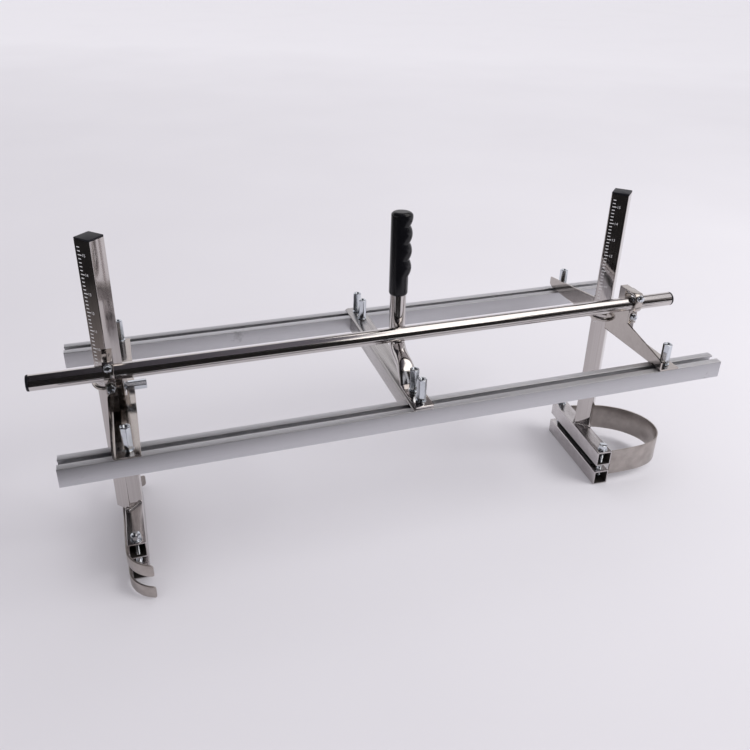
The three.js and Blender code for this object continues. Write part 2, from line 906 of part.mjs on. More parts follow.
// Pads: a thin rubber strip with a thick land near each end
function pad(jaw_x, face, way) {
  const half = pad_width / 2;
  const near = face + way * close_gap;
  const start = jaw_front_y + pad_end_margin;
  const end = jaw_rear_y - pad_end_margin;
  const slab = (depth, from, to) => alongZ(
    rectangle(jaw_x - half, jaw_x + half, from, to),
    Math.min(near, near + way * depth),
    Math.max(near, near + way * depth),
  );
  return joined(
    slab(pad_strip, start, end),
    slab(pad_land, start, start + pad_land_length),
    slab(pad_land, end - pad_land_length, end),
  );
}

function jawBolt(x, y) {
  const washer_top = jaw_top + close_gap + jaw_washer_thickness;
  const spring_top = washer_top + jaw_spring_washer_thickness;
  const washer = alongZ(disc(jaw_washer_diameter / 2, x, y), jaw_top + close_gap, washer_top);
  const spring = alongZ(disc(jaw_spring_washer_diameter / 2, x, y), washer_top, spring_top);
  const head = hexBlock(jaw_head_width, jaw_head_height, nut_face_in)
    .translate([x, y, spring_top]);
  const tip = lower_jaw_top - jaw_wall - jaw_nut_height - jaw_bolt_past_nut;
  const shank = alongZ(disc(jaw_bolt_diameter / 2, x, y), tip, spring_top + close_gap);
  return joined(washer, spring, head, shank);
}

// Nose guard: the strip leaves the front of the jaw, rounds the nose and returns
function noseGuard(jaw_x) {
  const face = jaw_x + jaw_side / 2 + close_gap;
  const mid = (jaw_front_y + jaw_rear_y) / 2;
  const stops = guard_out_shares.map((out, i) => new THREE.Vector3(
    face + guard_reach * out,
    mid + guard_along_shares[i] * jaw_length / 2,
    0,
  ));
  const path = new THREE.CatmullRomCurve3(stops).getPoints(2 * bend_steps);
  const strip = ribbonOutline(path.map((point) => [point.x, point.y]), guard_thickness);
  const beyond = alongZ(
    rectangle(face - guard_reach, face, jaw_front_y - jaw_length, jaw_rear_y + jaw_length),
    jaw_top - guard_height - overcut,
    jaw_top + overcut,
  );
  return alongZ(strip, jaw_top - guard_height, jaw_top).subtract(beyond);
}

// Hook strip along the outer face of a saw-side jaw, curled in at both ends
function hookStrip(jaw_x, jaw_base) {
  const inner = jaw_x - jaw_side / 2 - close_gap;
  const centre_radius = hook_radius - hook_thickness / 2;
  const line_x = inner - hook_thickness / 2;
  const turn = hook_angle * degree;
  const path = [
    ...arcPoints(
      line_x + centre_radius,
      jaw_front_y - hook_start_out,
      centre_radius,
      half_turn + turn,
      half_turn,
      round_steps,
    ),
    ...arcPoints(
      line_x + centre_radius,
      jaw_rear_y + hook_start_out,
      centre_radius,
      half_turn,
      half_turn - turn,
      round_steps,
    ),
  ];
  const bottom = jaw_base + (jaw_side - hook_height) / 2;
  const top = bottom + hook_height;
  const band = alongZ(ribbonOutline(path, hook_thickness), bottom, top);
  const tip = line_x + centre_radius * (1 - Math.cos(turn));
  const left = line_x - hook_thickness;
  const corners = outline([
    [bottom, left],
    [top, left],
    [top, tip - hook_corner],
    [top - hook_corner, tip],
    [bottom + hook_corner, tip],
    [bottom, tip - hook_corner],
  ]);
  const reach = jaw_length + 2 * hook_radius;
  return band.intersect(alongY(corners, jaw_front_y - reach, jaw_rear_y + reach));
}

function turnedAbout(body, x, angle) {
  return body.translate([-x, 0, 0]).rotate([0, 0, angle]).translate([x, 0, 0]);
}

function jawSet(side, post_x, offset, angle) {
  const jaw_x = post_x + offset;
  const add = (name, body, finish) => {
    piece(`${side}_${name}`, turnedAbout(body, post_x, angle), finish);
  };
  piece(`${side}_post`, post(post_x), "nickel");
  piece(`${side}_post_cap`, postCap(post_x), "plastic");
  piece(`${side}_upper_jaw`, upperJaw(post_x, jaw_x, angle), "nickel");
  add("upper_pad", pad(jaw_x, jaw_bottom, -1), "rubber");
  add("lower_jaw", lowerJaw(jaw_x), "nickel");
  add("lower_pad", pad(jaw_x, lower_jaw_top, 1), "rubber");
  add("front_jaw_bolt", jawBolt(jaw_x, jaw_bolt_ys[0]), "zinc");
  add("rear_jaw_bolt", jawBolt(jaw_x, jaw_bolt_ys[1]), "zinc");
}

jawSet("saw", saw_post_x, saw_jaw_offset, 0);
jawSet("nose", nose_post_x, nose_jaw_offset, nose_jaw_turn);
const saw_jaw_x = saw_post_x + saw_jaw_offset;
piece("saw_upper_hook_strip", hookStrip(saw_jaw_x, jaw_bottom), "nickel");
piece("saw_lower_hook_strip", hookStrip(saw_jaw_x, lower_jaw_bottom), "nickel");
const guard = noseGuard(nose_post_x + nose_jaw_offset);
piece("nose_guard", turnedAbout(guard, nose_post_x, nose_jaw_turn), "nickel");

// Origin: on the ground, below the middle of the whole mill
const extent = new THREE.Box3().setFromObject(group);
const middle = extent.getCenter(new THREE.Vector3());
for (const part of group.children) {
  part.geometry.translate(-middle.x, -middle.y, -extent.min.z);
}

export default group;
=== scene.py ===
import math

import bmesh
import bpy
from mathutils import Matrix, Vector


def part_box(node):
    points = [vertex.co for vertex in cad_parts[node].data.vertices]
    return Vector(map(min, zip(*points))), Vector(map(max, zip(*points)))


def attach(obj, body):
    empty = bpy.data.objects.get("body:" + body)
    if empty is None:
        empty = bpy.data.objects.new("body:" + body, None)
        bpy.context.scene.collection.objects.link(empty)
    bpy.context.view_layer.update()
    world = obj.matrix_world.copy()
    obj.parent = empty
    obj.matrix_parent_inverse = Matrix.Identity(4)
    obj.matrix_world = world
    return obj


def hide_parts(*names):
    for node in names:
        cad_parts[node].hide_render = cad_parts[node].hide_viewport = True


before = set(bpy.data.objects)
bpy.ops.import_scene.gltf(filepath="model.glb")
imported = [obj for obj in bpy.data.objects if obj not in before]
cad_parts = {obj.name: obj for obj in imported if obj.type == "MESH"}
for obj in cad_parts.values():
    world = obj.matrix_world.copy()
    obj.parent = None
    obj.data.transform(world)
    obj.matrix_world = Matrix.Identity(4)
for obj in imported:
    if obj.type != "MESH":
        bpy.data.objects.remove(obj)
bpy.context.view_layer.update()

# Camera: it stands a little to the left of the mill's middle, above it, and
# looks down along it. The lens is a normal one, raised a little in its mount.
camera_place = (-0.33431, -0.93556, 0.78791)
camera_heading, camera_fall, camera_tilt = 18.707, 27.066, 1.326
lens_mm, sensor_mm, lens_drop_share = 37.12, 36.0, -0.0558


def in_scene(name, data):
    thing = bpy.data.objects.new(name, data)
    bpy.context.scene.collection.objects.link(thing)
    return thing


def turn(degrees, axis):
    return Matrix.Rotation(math.radians(degrees), 4, axis)


camera = in_scene("camera", bpy.data.cameras.new("camera"))
camera.data.sensor_width = sensor_mm
camera.data.lens = lens_mm
camera.data.shift_y = lens_drop_share
camera.matrix_world = (Matrix.Translation(camera_place) @ turn(-camera_heading, "Z")
                       @ turn(90 - camera_fall, "X") @ turn(camera_tilt, "Z"))
bpy.context.scene.camera = camera
bpy.context.scene.view_settings.view_transform = "Standard"


# Studio: a wide sheet of pale lilac-grey paper under an even sky of white
# cloth, with one large soft lamp to the right. Cards, black to grey, and two
# lit cloths stand round it, and only polished metal mirrors them.
def linear(text):
    """A colour written as sRGB hex, as the renderer wants it."""
    parts = [int(text[i:i + 2], 16) / 255 for i in (1, 3, 5)]
    lights = [c / 12.92 if c <= 0.04045 else ((c + 0.055) / 1.055) ** 2.4 for c in parts]
    return (*lights, 1)


def feed(node, inputs):
    """Sets each named input of the node, or links it where a socket is given."""
    for name, value in inputs.items():
        if isinstance(value, bpy.types.NodeSocket):
            node.id_data.links.new(value, node.inputs[name])
        else:
            node.inputs[name].default_value = value


def add_node(tree, kind, inputs=(), **settings):
    """One node with its settings, and the values or links that go into it."""
    node = tree.nodes.new("ShaderNode" + kind)
    for name, value in settings.items():
        setattr(node, name, value)
    feed(node, dict(inputs))
    return node


def new_material(name):
    material = bpy.data.materials.new(name)
    material.use_nodes = True
    tree = material.node_tree
    return material, tree, tree.nodes["Principled BSDF"]


def flat_sheet(name, corners, material):
    """A stage sheet from its corners, in metres."""
    mesh = bpy.data.meshes.new(name)
    mesh.from_pydata(corners, [], [tuple(range(len(corners)))])
    mesh.materials.append(material)
    stage_sheet = in_scene(name, mesh)
    return stage_sheet


paper, tree, shader = new_material("studio_paper")
place = add_node(tree, "TexCoord").outputs["Object"]
cloud = add_node(tree, "TexNoise", {"Vector": place, "Scale": 1.6, "Detail": 2.0})
# Painted light: the paper grows paler towards the back of the room and to the
# right, a fall of light painted into its colour
depth = add_node(tree, "VectorMath", {0: place, 1: (0.45, 0.9, 0.0)}, operation="DOT_PRODUCT")
far = add_node(tree, "MapRange", {
    "Value": depth.outputs["Value"], "From Min": -0.6, "From Max": 5.3})
wave = add_node(tree, "MapRange", {
    "Value": cloud.outputs["Fac"], "To Min": -0.09, "To Max": 0.09})
share = add_node(tree, "Math", {0: far.outputs["Result"], 1: wave.outputs["Result"]},
                 operation="ADD", use_clamp=True)
tone = add_node(tree, "Mix", {
    0: share.outputs["Value"], 6: linear("#D3D1D5"), 7: linear("#FAF9FC")}, data_type="RGBA")
feed(shader, {"Base Color": tone.outputs[2], "Roughness": 0.9, "Specular IOR Level": 0.1})
paper_reach = 14.0
flat_sheet("studio_floor", [(x * paper_reach, y * paper_reach, 0)
                            for x, y in ((-1, -1), (1, -1), (1, 1), (-1, 1))], paper)

card_stuff = {}
for name, left_colour, right_colour, *fade in (
        ("black_card", "#1B1918", None), ("grey_card", "#85817F", None),
        ("dusky_card", "#2E2D31", "#77757C", -0.75, 0.2),
        ("card_in_half_shade", "#1B1918", "#8B8582", -1.4, -0.95)):
    card_stuff[name], tree, shader = new_material(name)
    feed(shader, {"Base Color": linear(left_colour), "Roughness": 0.9})
    if fade:
        place = add_node(tree, "TexCoord").outputs["Object"]
        across = add_node(tree, "SeparateXYZ", {"Vector": place})
        share = add_node(tree, "MapRange", {
            "Value": across.outputs["X"], "From Min": fade[0], "From Max": fade[1]})
        tone = add_node(tree, "Mix", {
            0: share.outputs["Result"], 6: linear(left_colour), 7: linear(right_colour)},
            data_type="RGBA")
        feed(shader, {"Base Color": tone.outputs[2]})
card_stuff["lit_cloth"], tree, shader = new_material("lit_soft_box_cloth")
feed(shader, {"Base Color": linear("#F4F1EC"), "Emission Color": linear("#FFFDF8"),
              "Emission Strength": 1.1})


def level(z, *corners):
    return [(x, y, z) for x, y in corners]


def upright(y, *corners):
    return [(x, y, z) for x, z in corners]


floor_card, wall, ceiling, cloth, cloth_wall = 0.002, -2.2, 2.6, 2.55, -2.15
cards = {
    "card_floor_front": ("black_card", level(
        floor_card, (-6, -6), (1.2, -6), (1.2, -0.8), (0.32, -0.8), (0.25, -0.68), (-0.2, -0.68),
        (-0.34, -0.5), (-6, -0.5))),
    "card_floor_left": ("card_in_half_shade", level(
        floor_card, (-6, -0.5), (-0.95, -0.5), (-0.95, 4), (-6, 4))),
    "card_behind_camera": ("black_card", upright(
        wall, (-3, 0), (2.2, 0), (2.2, ceiling), (-3, ceiling))),
    "card_overhead": ("dusky_card", level(
        ceiling, (-9, wall), (0.6, wall), (0.6, 2.8), (-9, 2.8))),
    "card_wall_right": ("grey_card", upright(
        wall, (2.2, 0), (6, 0), (6, ceiling), (2.2, ceiling))),
    "card_overhead_right": ("grey_card", level(
        ceiling, (0.6, 1.0), (6, 1.0), (6, 2.8), (0.6, 2.8))),
    "soft_box_overhead": ("lit_cloth", level(
        cloth, (0.72, cloth_wall), (2.2, cloth_wall), (2.0, -0.6), (1.85, 1.0), (0.42, 1.0),
        (0.6, 0.2), (0.72, -0.8))),
    "soft_box_skirt": ("lit_cloth", upright(
        cloth_wall, (0.62, 1.75), (1.5, 1.75), (1.6, cloth), (0.62, cloth))),
}
for name, (stuff, corners) in cards.items():
    card = flat_sheet(name, corners, card_stuff[stuff])
    card.visible_camera = card.visible_diffuse = card.visible_shadow = False
    card.visible_transmission = False

world = bpy.data.worlds.new("studio_sky")
world.use_nodes = True
feed(world.node_tree.nodes["Background"], {"Color": linear("#F2F0F4"), "Strength": 0.95})
bpy.context.scene.world = world

lamp_place, lamp_aim = Vector((2.2, -1.3, 2.2)), Vector((0, 0, 0.2))
lamp_side, lamp_watts = 1.6, 52
lamp = in_scene("right_soft_box", bpy.data.lights.new("right_soft_box", "AREA"))
lamp.data.shape = "RECTANGLE"
lamp.data.size = lamp.data.size_y = lamp_side
lamp.data.energy = lamp_watts
lamp.location = lamp_place
lamp.rotation_euler = (lamp_aim - lamp_place).to_track_quat("-Z", "Y").to_euler()
lamp.visible_camera = lamp.visible_glossy = False

# Rails: two aluminium bars, extruded with a bolt slot along the top, sawn to
# length and satin anodised. The ends stay open. Fine draw lines run along
# them and a few faint rubs show on the outer faces.
rail_length, rail_width, rail_height, rail_y = 910.0, 30.0, 25.0, 143.0
rail_wall, slot_width, slot_lip, slot_room_width, slot_room_depth = 2.0, 8.4, 2.6, 16.0, 7.0
rail_corner, lip_corner, room_corner = 0.7, 0.3, 0.5

low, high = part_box("front_rail")
datum = Vector(((low.x + high.x) / 2, 0, high.z))
mm = 0.001
# Pieces that touch stand a hair apart, and cutters run past what they cut
hair, past = 0.1, 2.0


def arc(a, b, radius, start, end, steps, stretch=1):
    """Points on an arc, angles in degrees."""
    turns = [math.radians(start + (end - start) * i / steps) for i in range(steps + 1)]
    return [(a + radius * stretch * math.cos(t), b + radius * math.sin(t)) for t in turns]


def rounded(corners, radius=0.0, steps=4):
    """An outline whose corners are turned by a radius of their own or the common one."""
    points = []
    for i, corner in enumerate(corners):
        here = Vector(corner[:2])
        bend = corner[2] if len(corner) > 2 else radius
        back = (Vector(corners[i - 1][:2]) - here).normalized()
        on = (Vector(corners[(i + 1) % len(corners)][:2]) - here).normalized()
        if not bend:
            points.append(tuple(here))
            continue
        half = back.angle(on) / 2
        centre = here + (back + on).normalized() * bend / math.sin(half)
        first = here + back * bend / math.tan(half) - centre
        sweep = (math.pi - 2 * half) * (1 if back.x * on.y - back.y * on.x < 0 else -1)
        for k in range(steps + 1):
            points.append(tuple(centre + Matrix.Rotation(sweep * k / steps, 2) @ first))
    return points


def rectangle(a0, a1, b0, b1, radius=0.0):
    return rounded([(a0, b0), (a1, b0), (a1, b1), (a0, b1)], radius)


def body_of(shape):
    """A loose object, in millimetres from the mill's datum, from a bmesh."""
    bmesh.ops.recalc_face_normals(shape, faces=shape.faces)
    mesh = bpy.data.meshes.new("piece")
    shape.to_mesh(mesh)
    shape.free()
    return in_scene("piece", mesh)


def lofted(rings):
    """A skin over rings of points, shut by a ring of one point or by the first again."""
    shape = bmesh.new()
    count = max(len(ring) for ring in rings)
    around = rings[0] == rings[-1]
    loops = [[shape.verts.new(point) for point in ring] * (count // len(ring))
             for ring in rings[:len(rings) - around]]
    if around:
        loops.append(loops[0])
    elif len(rings[0]) > 1:
        shape.faces.new(loops[0])
        shape.faces.new(loops[-1])
    for low_ring, high_ring in zip(loops, loops[1:]):
        for k in range(count):
            corners = (low_ring[k - 1], low_ring[k], high_ring[k], high_ring[k - 1])
            shape.faces.new(list(dict.fromkeys(corners)))
    return body_of(shape)


def prism(outline, axis, start, end):
    """A block with this outline, drawn in the two axes that follow its own."""
    order = {"X": (2, 0, 1), "Y": (1, 2, 0), "Z": (0, 1, 2)}[axis]
    return lofted([[[(*point, w)[i] for i in order] for point in outline] for w in (start, end)])


def drop(*bodies):
    for body in bodies:
        mesh = body.data
        bpy.data.objects.remove(body)
        bpy.data.meshes.remove(mesh)


def mesh_now(thing):
    graph = bpy.context.evaluated_depsgraph_get()
    return bpy.data.meshes.new_from_object(thing.evaluated_get(graph))


def settled(body):
    """The body with its modifiers made part of its mesh."""
    mesh, old = mesh_now(body), body.data
    body.modifiers.clear()
    body.data = mesh
    bpy.data.meshes.remove(old)
    return body


def combined(operation, body, *others):
    for other in others:
        change = body.modifiers.new("fit", "BOOLEAN")
        change.operation, change.solver, change.object = operation, "EXACT", other
        settled(body)
    drop(*others)
    return body


def cut(body, *tools):
    return combined("DIFFERENCE", body, *tools)


def softened(body, width, segments=2):
    """The body with its sharp edges broken by this width."""
    bevel = body.modifiers.new("edges", "BEVEL")
    bevel.width, bevel.segments = width, segments
    bevel.angle_limit = math.radians(35)
    return settled(body)


def fitted(body, name, material, rides, nodes, sharp=32):
    """The finished piece in metres, on its body, in place of its CAD nodes."""
    body.name = body.data.name = name
    body.data.transform(Matrix.Translation(datum) @ Matrix.Scale(mm, 4))
    body.data.polygons.foreach_set("use_smooth", [True] * len(body.data.polygons))
    body.data.set_sharp_from_angle(angle=math.radians(sharp))
    body.data.materials.append(material)
    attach(body, rides)
    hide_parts(*nodes)
    return body


def surface(name, patterns, tone, gloss=None, relief=None, sockets=()):
    """A material whose colour, gloss and relief each follow one of its patterns.

    A pattern is its turns to the metre, or those of each axis, detail and harshness.
    Tone adds two colours, gloss two roughnesses and their span, relief its strength
    and depth in metres.
    """
    material, tree, shader = new_material(name)
    place = add_node(tree, "TexCoord").outputs["Object"]
    made = {}
    for key, (scale, detail, *harshness) in patterns.items():
        vector = place
        if isinstance(scale, tuple):
            stretch = add_node(tree, "Mapping", {"Vector": place, "Scale": scale})
            vector, scale = stretch.outputs["Vector"], 1.0
        noise = add_node(tree, "TexNoise", {"Vector": vector, "Scale": scale, "Detail": detail})
        if harshness:
            feed(noise, {"Roughness": harshness[0]})
        made[key] = noise.outputs["Fac"]
    key, dark, pale = tone
    mix = add_node(tree, "Mix", {0: made[key], 6: linear(dark), 7: linear(pale)}, data_type="RGBA")
    feed(shader, {"Base Color": mix.outputs[2], **dict(sockets)})
    if gloss:
        key, least, most, *span = gloss
        start, end = span or (0.0, 1.0)
        sheen = add_node(tree, "MapRange", {"Value": made[key], "From Min": start,
                                            "From Max": end, "To Min": least, "To Max": most})
        feed(shader, {"Roughness": sheen.outputs["Result"]})
    if relief:
        key, strength, rise = relief
        bump = add_node(tree, "Bump", {"Height": made[key], "Strength": strength, "Distance": rise})
        feed(shader, {"Normal": bump.outputs["Normal"]})
    return material


metal = {"Metallic": 1.0}
# Draw lines of about 0.6 mm, hundreds of millimetres long
anodised = surface("satin_anodised_aluminium", {"lines": ((5.0, 1600.0, 1600.0), 3.0)},
                   ("lines", "#CDCDD0", "#DDDDE0"), ("lines", 0.42, 0.54),
                   ("lines", 0.25, 0.0001), {**metal, "Anisotropic": 0.4})
# Rubs a few centimetres across from handling and packing
tree = anodised.node_tree
shader = tree.nodes["Principled BSDF"]
rubs = add_node(tree, "TexNoise", {
    "Vector": tree.nodes["Texture Coordinate"].outputs["Object"],
    "Scale": 22.0, "Detail": 6.0, "Roughness": 0.7})
rub_mask = add_node(tree, "MapRange", {
    "Value": rubs.outputs["Fac"], "From Min": 0.62, "From Max": 0.8})
rubbed = add_node(tree, "Mix", {
    0: rub_mask.outputs["Result"], 6: shader.inputs["Base Color"].links[0].from_socket,
    7: linear("#9C9C9E")}, data_type="RGBA")
feed(shader, {"Base Color": rubbed.outputs[2]})

half, slot, room = rail_width / 2, slot_width / 2, slot_room_width / 2
room_floor, inner = -slot_lip - slot_room_depth, half - rail_wall
half_profile = [
    (half, -rail_height, rail_corner), (half, 0, rail_corner), (slot, 0, room_corner),
    (slot, -slot_lip, lip_corner), (room, -slot_lip, room_corner), (room, room_floor, room_corner)]
for name, y in (("front_rail", -rail_y), ("rear_rail", rail_y)):
    profile = [(y + a, b, bend) for a, b, bend in half_profile]
    profile += [(y - a, b, bend) for a, b, bend in reversed(half_profile)]
    hollows = [
        (y - inner, y + inner, rail_wall - rail_height, room_floor - rail_wall),
        (y - inner, y - room - rail_wall, room_floor, -slot_lip),
        (y + room + rail_wall, y + inner, room_floor, -slot_lip)]
    bar = cut(prism(rounded(profile), "X", -rail_length / 2, rail_length / 2), *[
        prism(rectangle(*hollow, room_corner), "X", -rail_length / 2 - past, rail_length / 2 + past)
        for hollow in hollows])
    fitted(bar, name + "_extrusion", anodised, "rails", [name])

# Brackets: 2.5 mm steel sheet, cut, folded along the foot and nickel plated
# bright. The web rises to a horn, 12 mm thick at its block, that cups the
# handlebar, and two doors stand either side of the post.
sheet, foot_width, foot_half, foot_short, fold_radius = 2.5, 32.0, 158.0, 4.0, 1.6
post_past_web, post_half_diagonal, notch_play = 3.5, 25 / math.sqrt(2), 0.5
bar_radius, bar_y, bar_z, seat_play = 10.0, -67.0, 66.0, 0.3
clip_width, block_front, block_rear = 12.0, -69.2, -39.0
block_top, block_bottom, mouth_y, mouth_z = 84.0, 11.0, -52.5, 72.0
door_reach, door_height, relief_radius, relief_back = 13.7, 42.0, 2.5, 17.0
rod_diameter, leg_spacing, leg_height = 6.0, 24.5, 20.0
bolt_in_foot, bolt_hole = 18.0, 3.5
web_xs = {"saw": -394.0, "nose": 348.0}


def hole(radius, axis, a, b, start, end, steps=40):
    """A round cutter, drawn in the two axes that follow its own."""
    return prism(arc(a, b, radius, 0, 360 - 360 / steps, steps - 1), axis, start, end)


# The sheet is not quite flat: swells some 40 mm long bend the reflections.
# Handling leaves hair scratches and clouds, drawn coarser than they are
nickel = surface("bright_nickel_plate", {"swell": (26.0, 2.0), "clouds": (120.0, 8.0, 0.72)},
                 ("clouds", "#ACA5A0", "#C8C2BD"), ("clouds", 0.07, 0.2, 0.35, 0.7),
                 ("swell", 0.12, 0.0012), metal)

for side, web_x in web_xs.items():
    seat, fold, foot_end = bar_radius + seat_play, fold_radius + sheet, foot_half - foot_short
    web_back, foot_edge = web_x + sheet, web_x + foot_width
    horn = [
        (block_rear, block_top), (mouth_y, block_top), (mouth_y, mouth_z),
        *arc(bar_y, bar_z, seat, 0, -90, 16), (block_front, bar_z - seat)]
    # From the front end back along the foot, then forward over the top
    web_outline = [
        (-foot_half, 0), (foot_end - 12, 0), (foot_end, 7), (foot_end, 19), (block_rear, 47),
        *horn, (block_front, 35), (-154, 16), (-foot_half, 14)]
    angle_iron = prism(rounded([
        (0, web_x, fold), (block_top + past, web_x), (block_top + past, web_back),
        (sheet, web_back, fold_radius), (sheet, foot_edge, 0.8), (0, foot_edge, 0.8)], steps=6),
        "Y", -foot_half, foot_end)
    bracket = combined("INTERSECT", angle_iron, prism(
        web_outline, "X", web_x - past, foot_edge + past))
    block = prism([(block_front, block_bottom), (block_rear, block_bottom), *horn],
                  "X", web_x + 1, web_x + clip_width)
    gate = post_half_diagonal + notch_play
    doors = [prism(rectangle(web_x, web_back + door_reach, door_y, door_y + sheet),
                   "Z", 1, door_height) for door_y in (-gate - sheet, gate)]
    corner = web_x + post_past_web + post_half_diagonal
    bracket = cut(
        combined("UNION", bracket, block, *doors),
        prism(rectangle(web_x - past, corner + notch_play, -gate, gate), "Z", -past, block_top),
        *[hole((rod_diameter + 0.5) / 2, "X", way * leg_spacing, leg_height,
               web_x - past, web_back + past) for way in (-1, 1)],
        *[hole(bolt_hole, "Z", web_x + bolt_in_foot, way * rail_y, -past, sheet + past)
          for way in (-1, 1)],
        hole(relief_radius, "X", relief_back - foot_half, sheet + 0.5, web_x - past, web_back))
    fitted(softened(bracket, 0.35), side + "_bracket_sheet", nickel, side + "_bracket_set",
           [side + "_bracket"])

# Bar clips: a 3 mm strap bent over the handlebar, held to the bracket's
# block by two small hex screws on washers. The strap is nickel plated, the
# screws are bright zinc.
strap_thick, strap_top, strap_foot, strap_tail, strap_bend = 3.0, 85.0, 35.5, -54.0, 4.5
clip_screw_d, clip_hole, clip_head_width, clip_head_height = 5.0, 2.75, 8.0, 4.0
clip_washer_d, clip_washer_thick, clip_screw_end = 10.0, 1.0, mouth_y + 11
clip_levels = {"upper": 79.3, "lower": 46.0}


def ribbon(path, thickness):
    """The outline of a strip of even thickness along a flat path."""
    near, far = [], []
    for i, point in enumerate(path):
        run = Vector(path[min(i + 1, len(path) - 1)]) - Vector(path[max(i - 1, 0)])
        out = run.orthogonal().normalized() * thickness / 2
        near.append(tuple(Vector(point) + out))
        far.insert(0, tuple(Vector(point) - out))
    return near + far


def on_circle(radius, k, steps, z):
    angle = 2 * math.pi * k / steps
    return radius * math.cos(angle), radius * math.sin(angle), z


def hex_block(width, height, face_in=0.3, steps=60):
    """A hex nut or head on z = 0, its corners turned down at both ends."""
    flat, sixth, slope = width / 2 - face_in, math.pi / 3, 0.55
    reaches = [min(
        width / 2 / math.cos((2 * math.pi * k / steps + sixth / 2) % sixth - sixth / 2),
        width / math.sqrt(3) - 0.15) for k in range(steps)]
    faces, rims = [], []
    for z, way in ((0, 1), (height, -1)):
        faces.append([on_circle(flat, k, steps, z) for k in range(steps)])
        rims.append([on_circle(reach, k, steps, z + way * max(reach - flat, 0) * slope)
                     for k, reach in enumerate(reaches)])
    return lofted([faces[0], *rims, faces[1]])


def turned(profile, steps=48):
    """A solid turned about Z from points of radius and height."""
    return lofted([[on_circle(radius, k, steps, z) for k in range(steps if radius else 1)]
                   for radius, z in profile])


def washer(diameter, thickness, bore, edge=0.25):
    rim = diameter / 2
    ring = turned([
        (0, 0), (rim - edge, 0), (rim, edge), (rim, thickness - edge),
        (rim - edge, thickness), (0, thickness)])
    return cut(ring, hole(bore / 2, "Z", 0, 0, -1, thickness + 1)) if bore else ring


def stud(diameter, bottom, top, pitch, steps=24):
    """A threaded rod about Z: its crest climbs one pitch in each turn."""
    rings, thread = [], diameter * 0.09
    levels = int((top - bottom) / pitch * 6)
    for i in range(levels + 1):
        z = bottom + (top - bottom) * i / levels
        crest = diameter / 2 - max(0.5 - (z - bottom), 0.5 - (top - z), 0)
        rings.append([on_circle(
            crest - thread * abs(2 * ((z / pitch - k / steps) % 1) - 1), k, steps, z)
            for k in range(steps)])
    return lofted(rings)


def moved(body, x=0.0, y=0.0, z=0.0, axis="Z", angle=0.0):
    body.data.transform(Matrix.Translation((x, y, z)) @ turn(angle, axis))
    return body


def together(body, *others):
    """Parts that touch and are shown as one piece."""
    shape = bmesh.new()
    for part in (body, *others):
        shape.from_mesh(part.data)
    drop(body, *others)
    return body_of(shape)


# The plated grain of cold-headed steel, a tenth of a millimetre, drawn at
# about one millimetre
zinc = surface("bright_zinc_plate", {"grain": (900.0, 5.0)}, ("grain", "#BFC5CC", "#E6EAEE"),
               ("grain", 0.08, 0.22), ("grain", 0.2, 0.00008), metal)

for side, web_x in web_xs.items():
    rides = side + "_bracket_set"
    half = strap_thick / 2
    wrap = bar_radius + seat_play + half
    leg_y = block_front - seat_play - half
    leave = math.degrees(math.acos((leg_y - bar_y) / wrap))
    path = [
        (leg_y, strap_foot), *arc(bar_y, bar_z, wrap, -leave, -180, 14),
        *arc(bar_y - wrap + strap_bend, strap_top - half - strap_bend, strap_bend, 180, 90, 8),
        (strap_tail, strap_top - half)]
    screw_x = web_x + clip_width / 2
    strap = cut(prism(ribbon(path, strap_thick), "X", web_x, web_x + clip_width), *[
        hole(clip_hole, "Y", z, screw_x, bar_y - 20,
             bar_y - strap_bend if z > bar_z else block_front, 24) for z in clip_levels.values()])
    fitted(softened(strap, 0.4), side + "_bar_clip_strap", nickel, rides,
           [side + "_bar_strap"])
    for level_name, behind in (("upper", bar_y - bar_radius), ("lower", block_front)):
        z = clip_levels[level_name]
        seat = behind - seat_play - strap_thick - hair
        front = seat - clip_washer_thick
        screw = together(
            moved(hex_block(clip_head_width, clip_head_height, 0.15),
                  screw_x, front + hair, z, "X", 90),
            moved(washer(clip_washer_d, clip_washer_thick, 0), screw_x, seat, z, "X", 90),
            moved(stud(clip_screw_d, 0, clip_screw_end - front, 0.8),
                  screw_x, clip_screw_end, z, "X", 90))
        fitted(screw, f"{side}_{level_name}_clip_screw", zinc, rides,
               [f"{side}_{level_name}_clip_bolt"])

# U-bolts: 6 mm rod bent round the back of each post, its threaded legs
# through the web, and a saddle plate with a square corner that the long
# nuts pull against the post. Both are nickel plated.
u_bend_reach, u_leg_reach, u_bend_start, u_chamfer = 15.5, 44.0, 2.0, 0.6
saddle_thick, saddle_low, saddle_high, saddle_half, saddle_stand = 3.0, 6.0, 40.0, 32.0, 16.7


def hoop(path, i, radius, steps, squat=1.0):
    """Points round a level path at one of its stops, lower than wide if squat."""
    ahead = (path[min(i + 1, len(path) - 1)] - path[max(i - 1, 0)]).normalized()
    across, up = ahead.cross(Vector((0, 0, 1))).normalized(), Vector((0, 0, squat))
    turns = [2 * math.pi * k / steps for k in range(steps)]
    return [path[i] + across * radius * math.cos(t) + up * radius * math.sin(t) for t in turns]


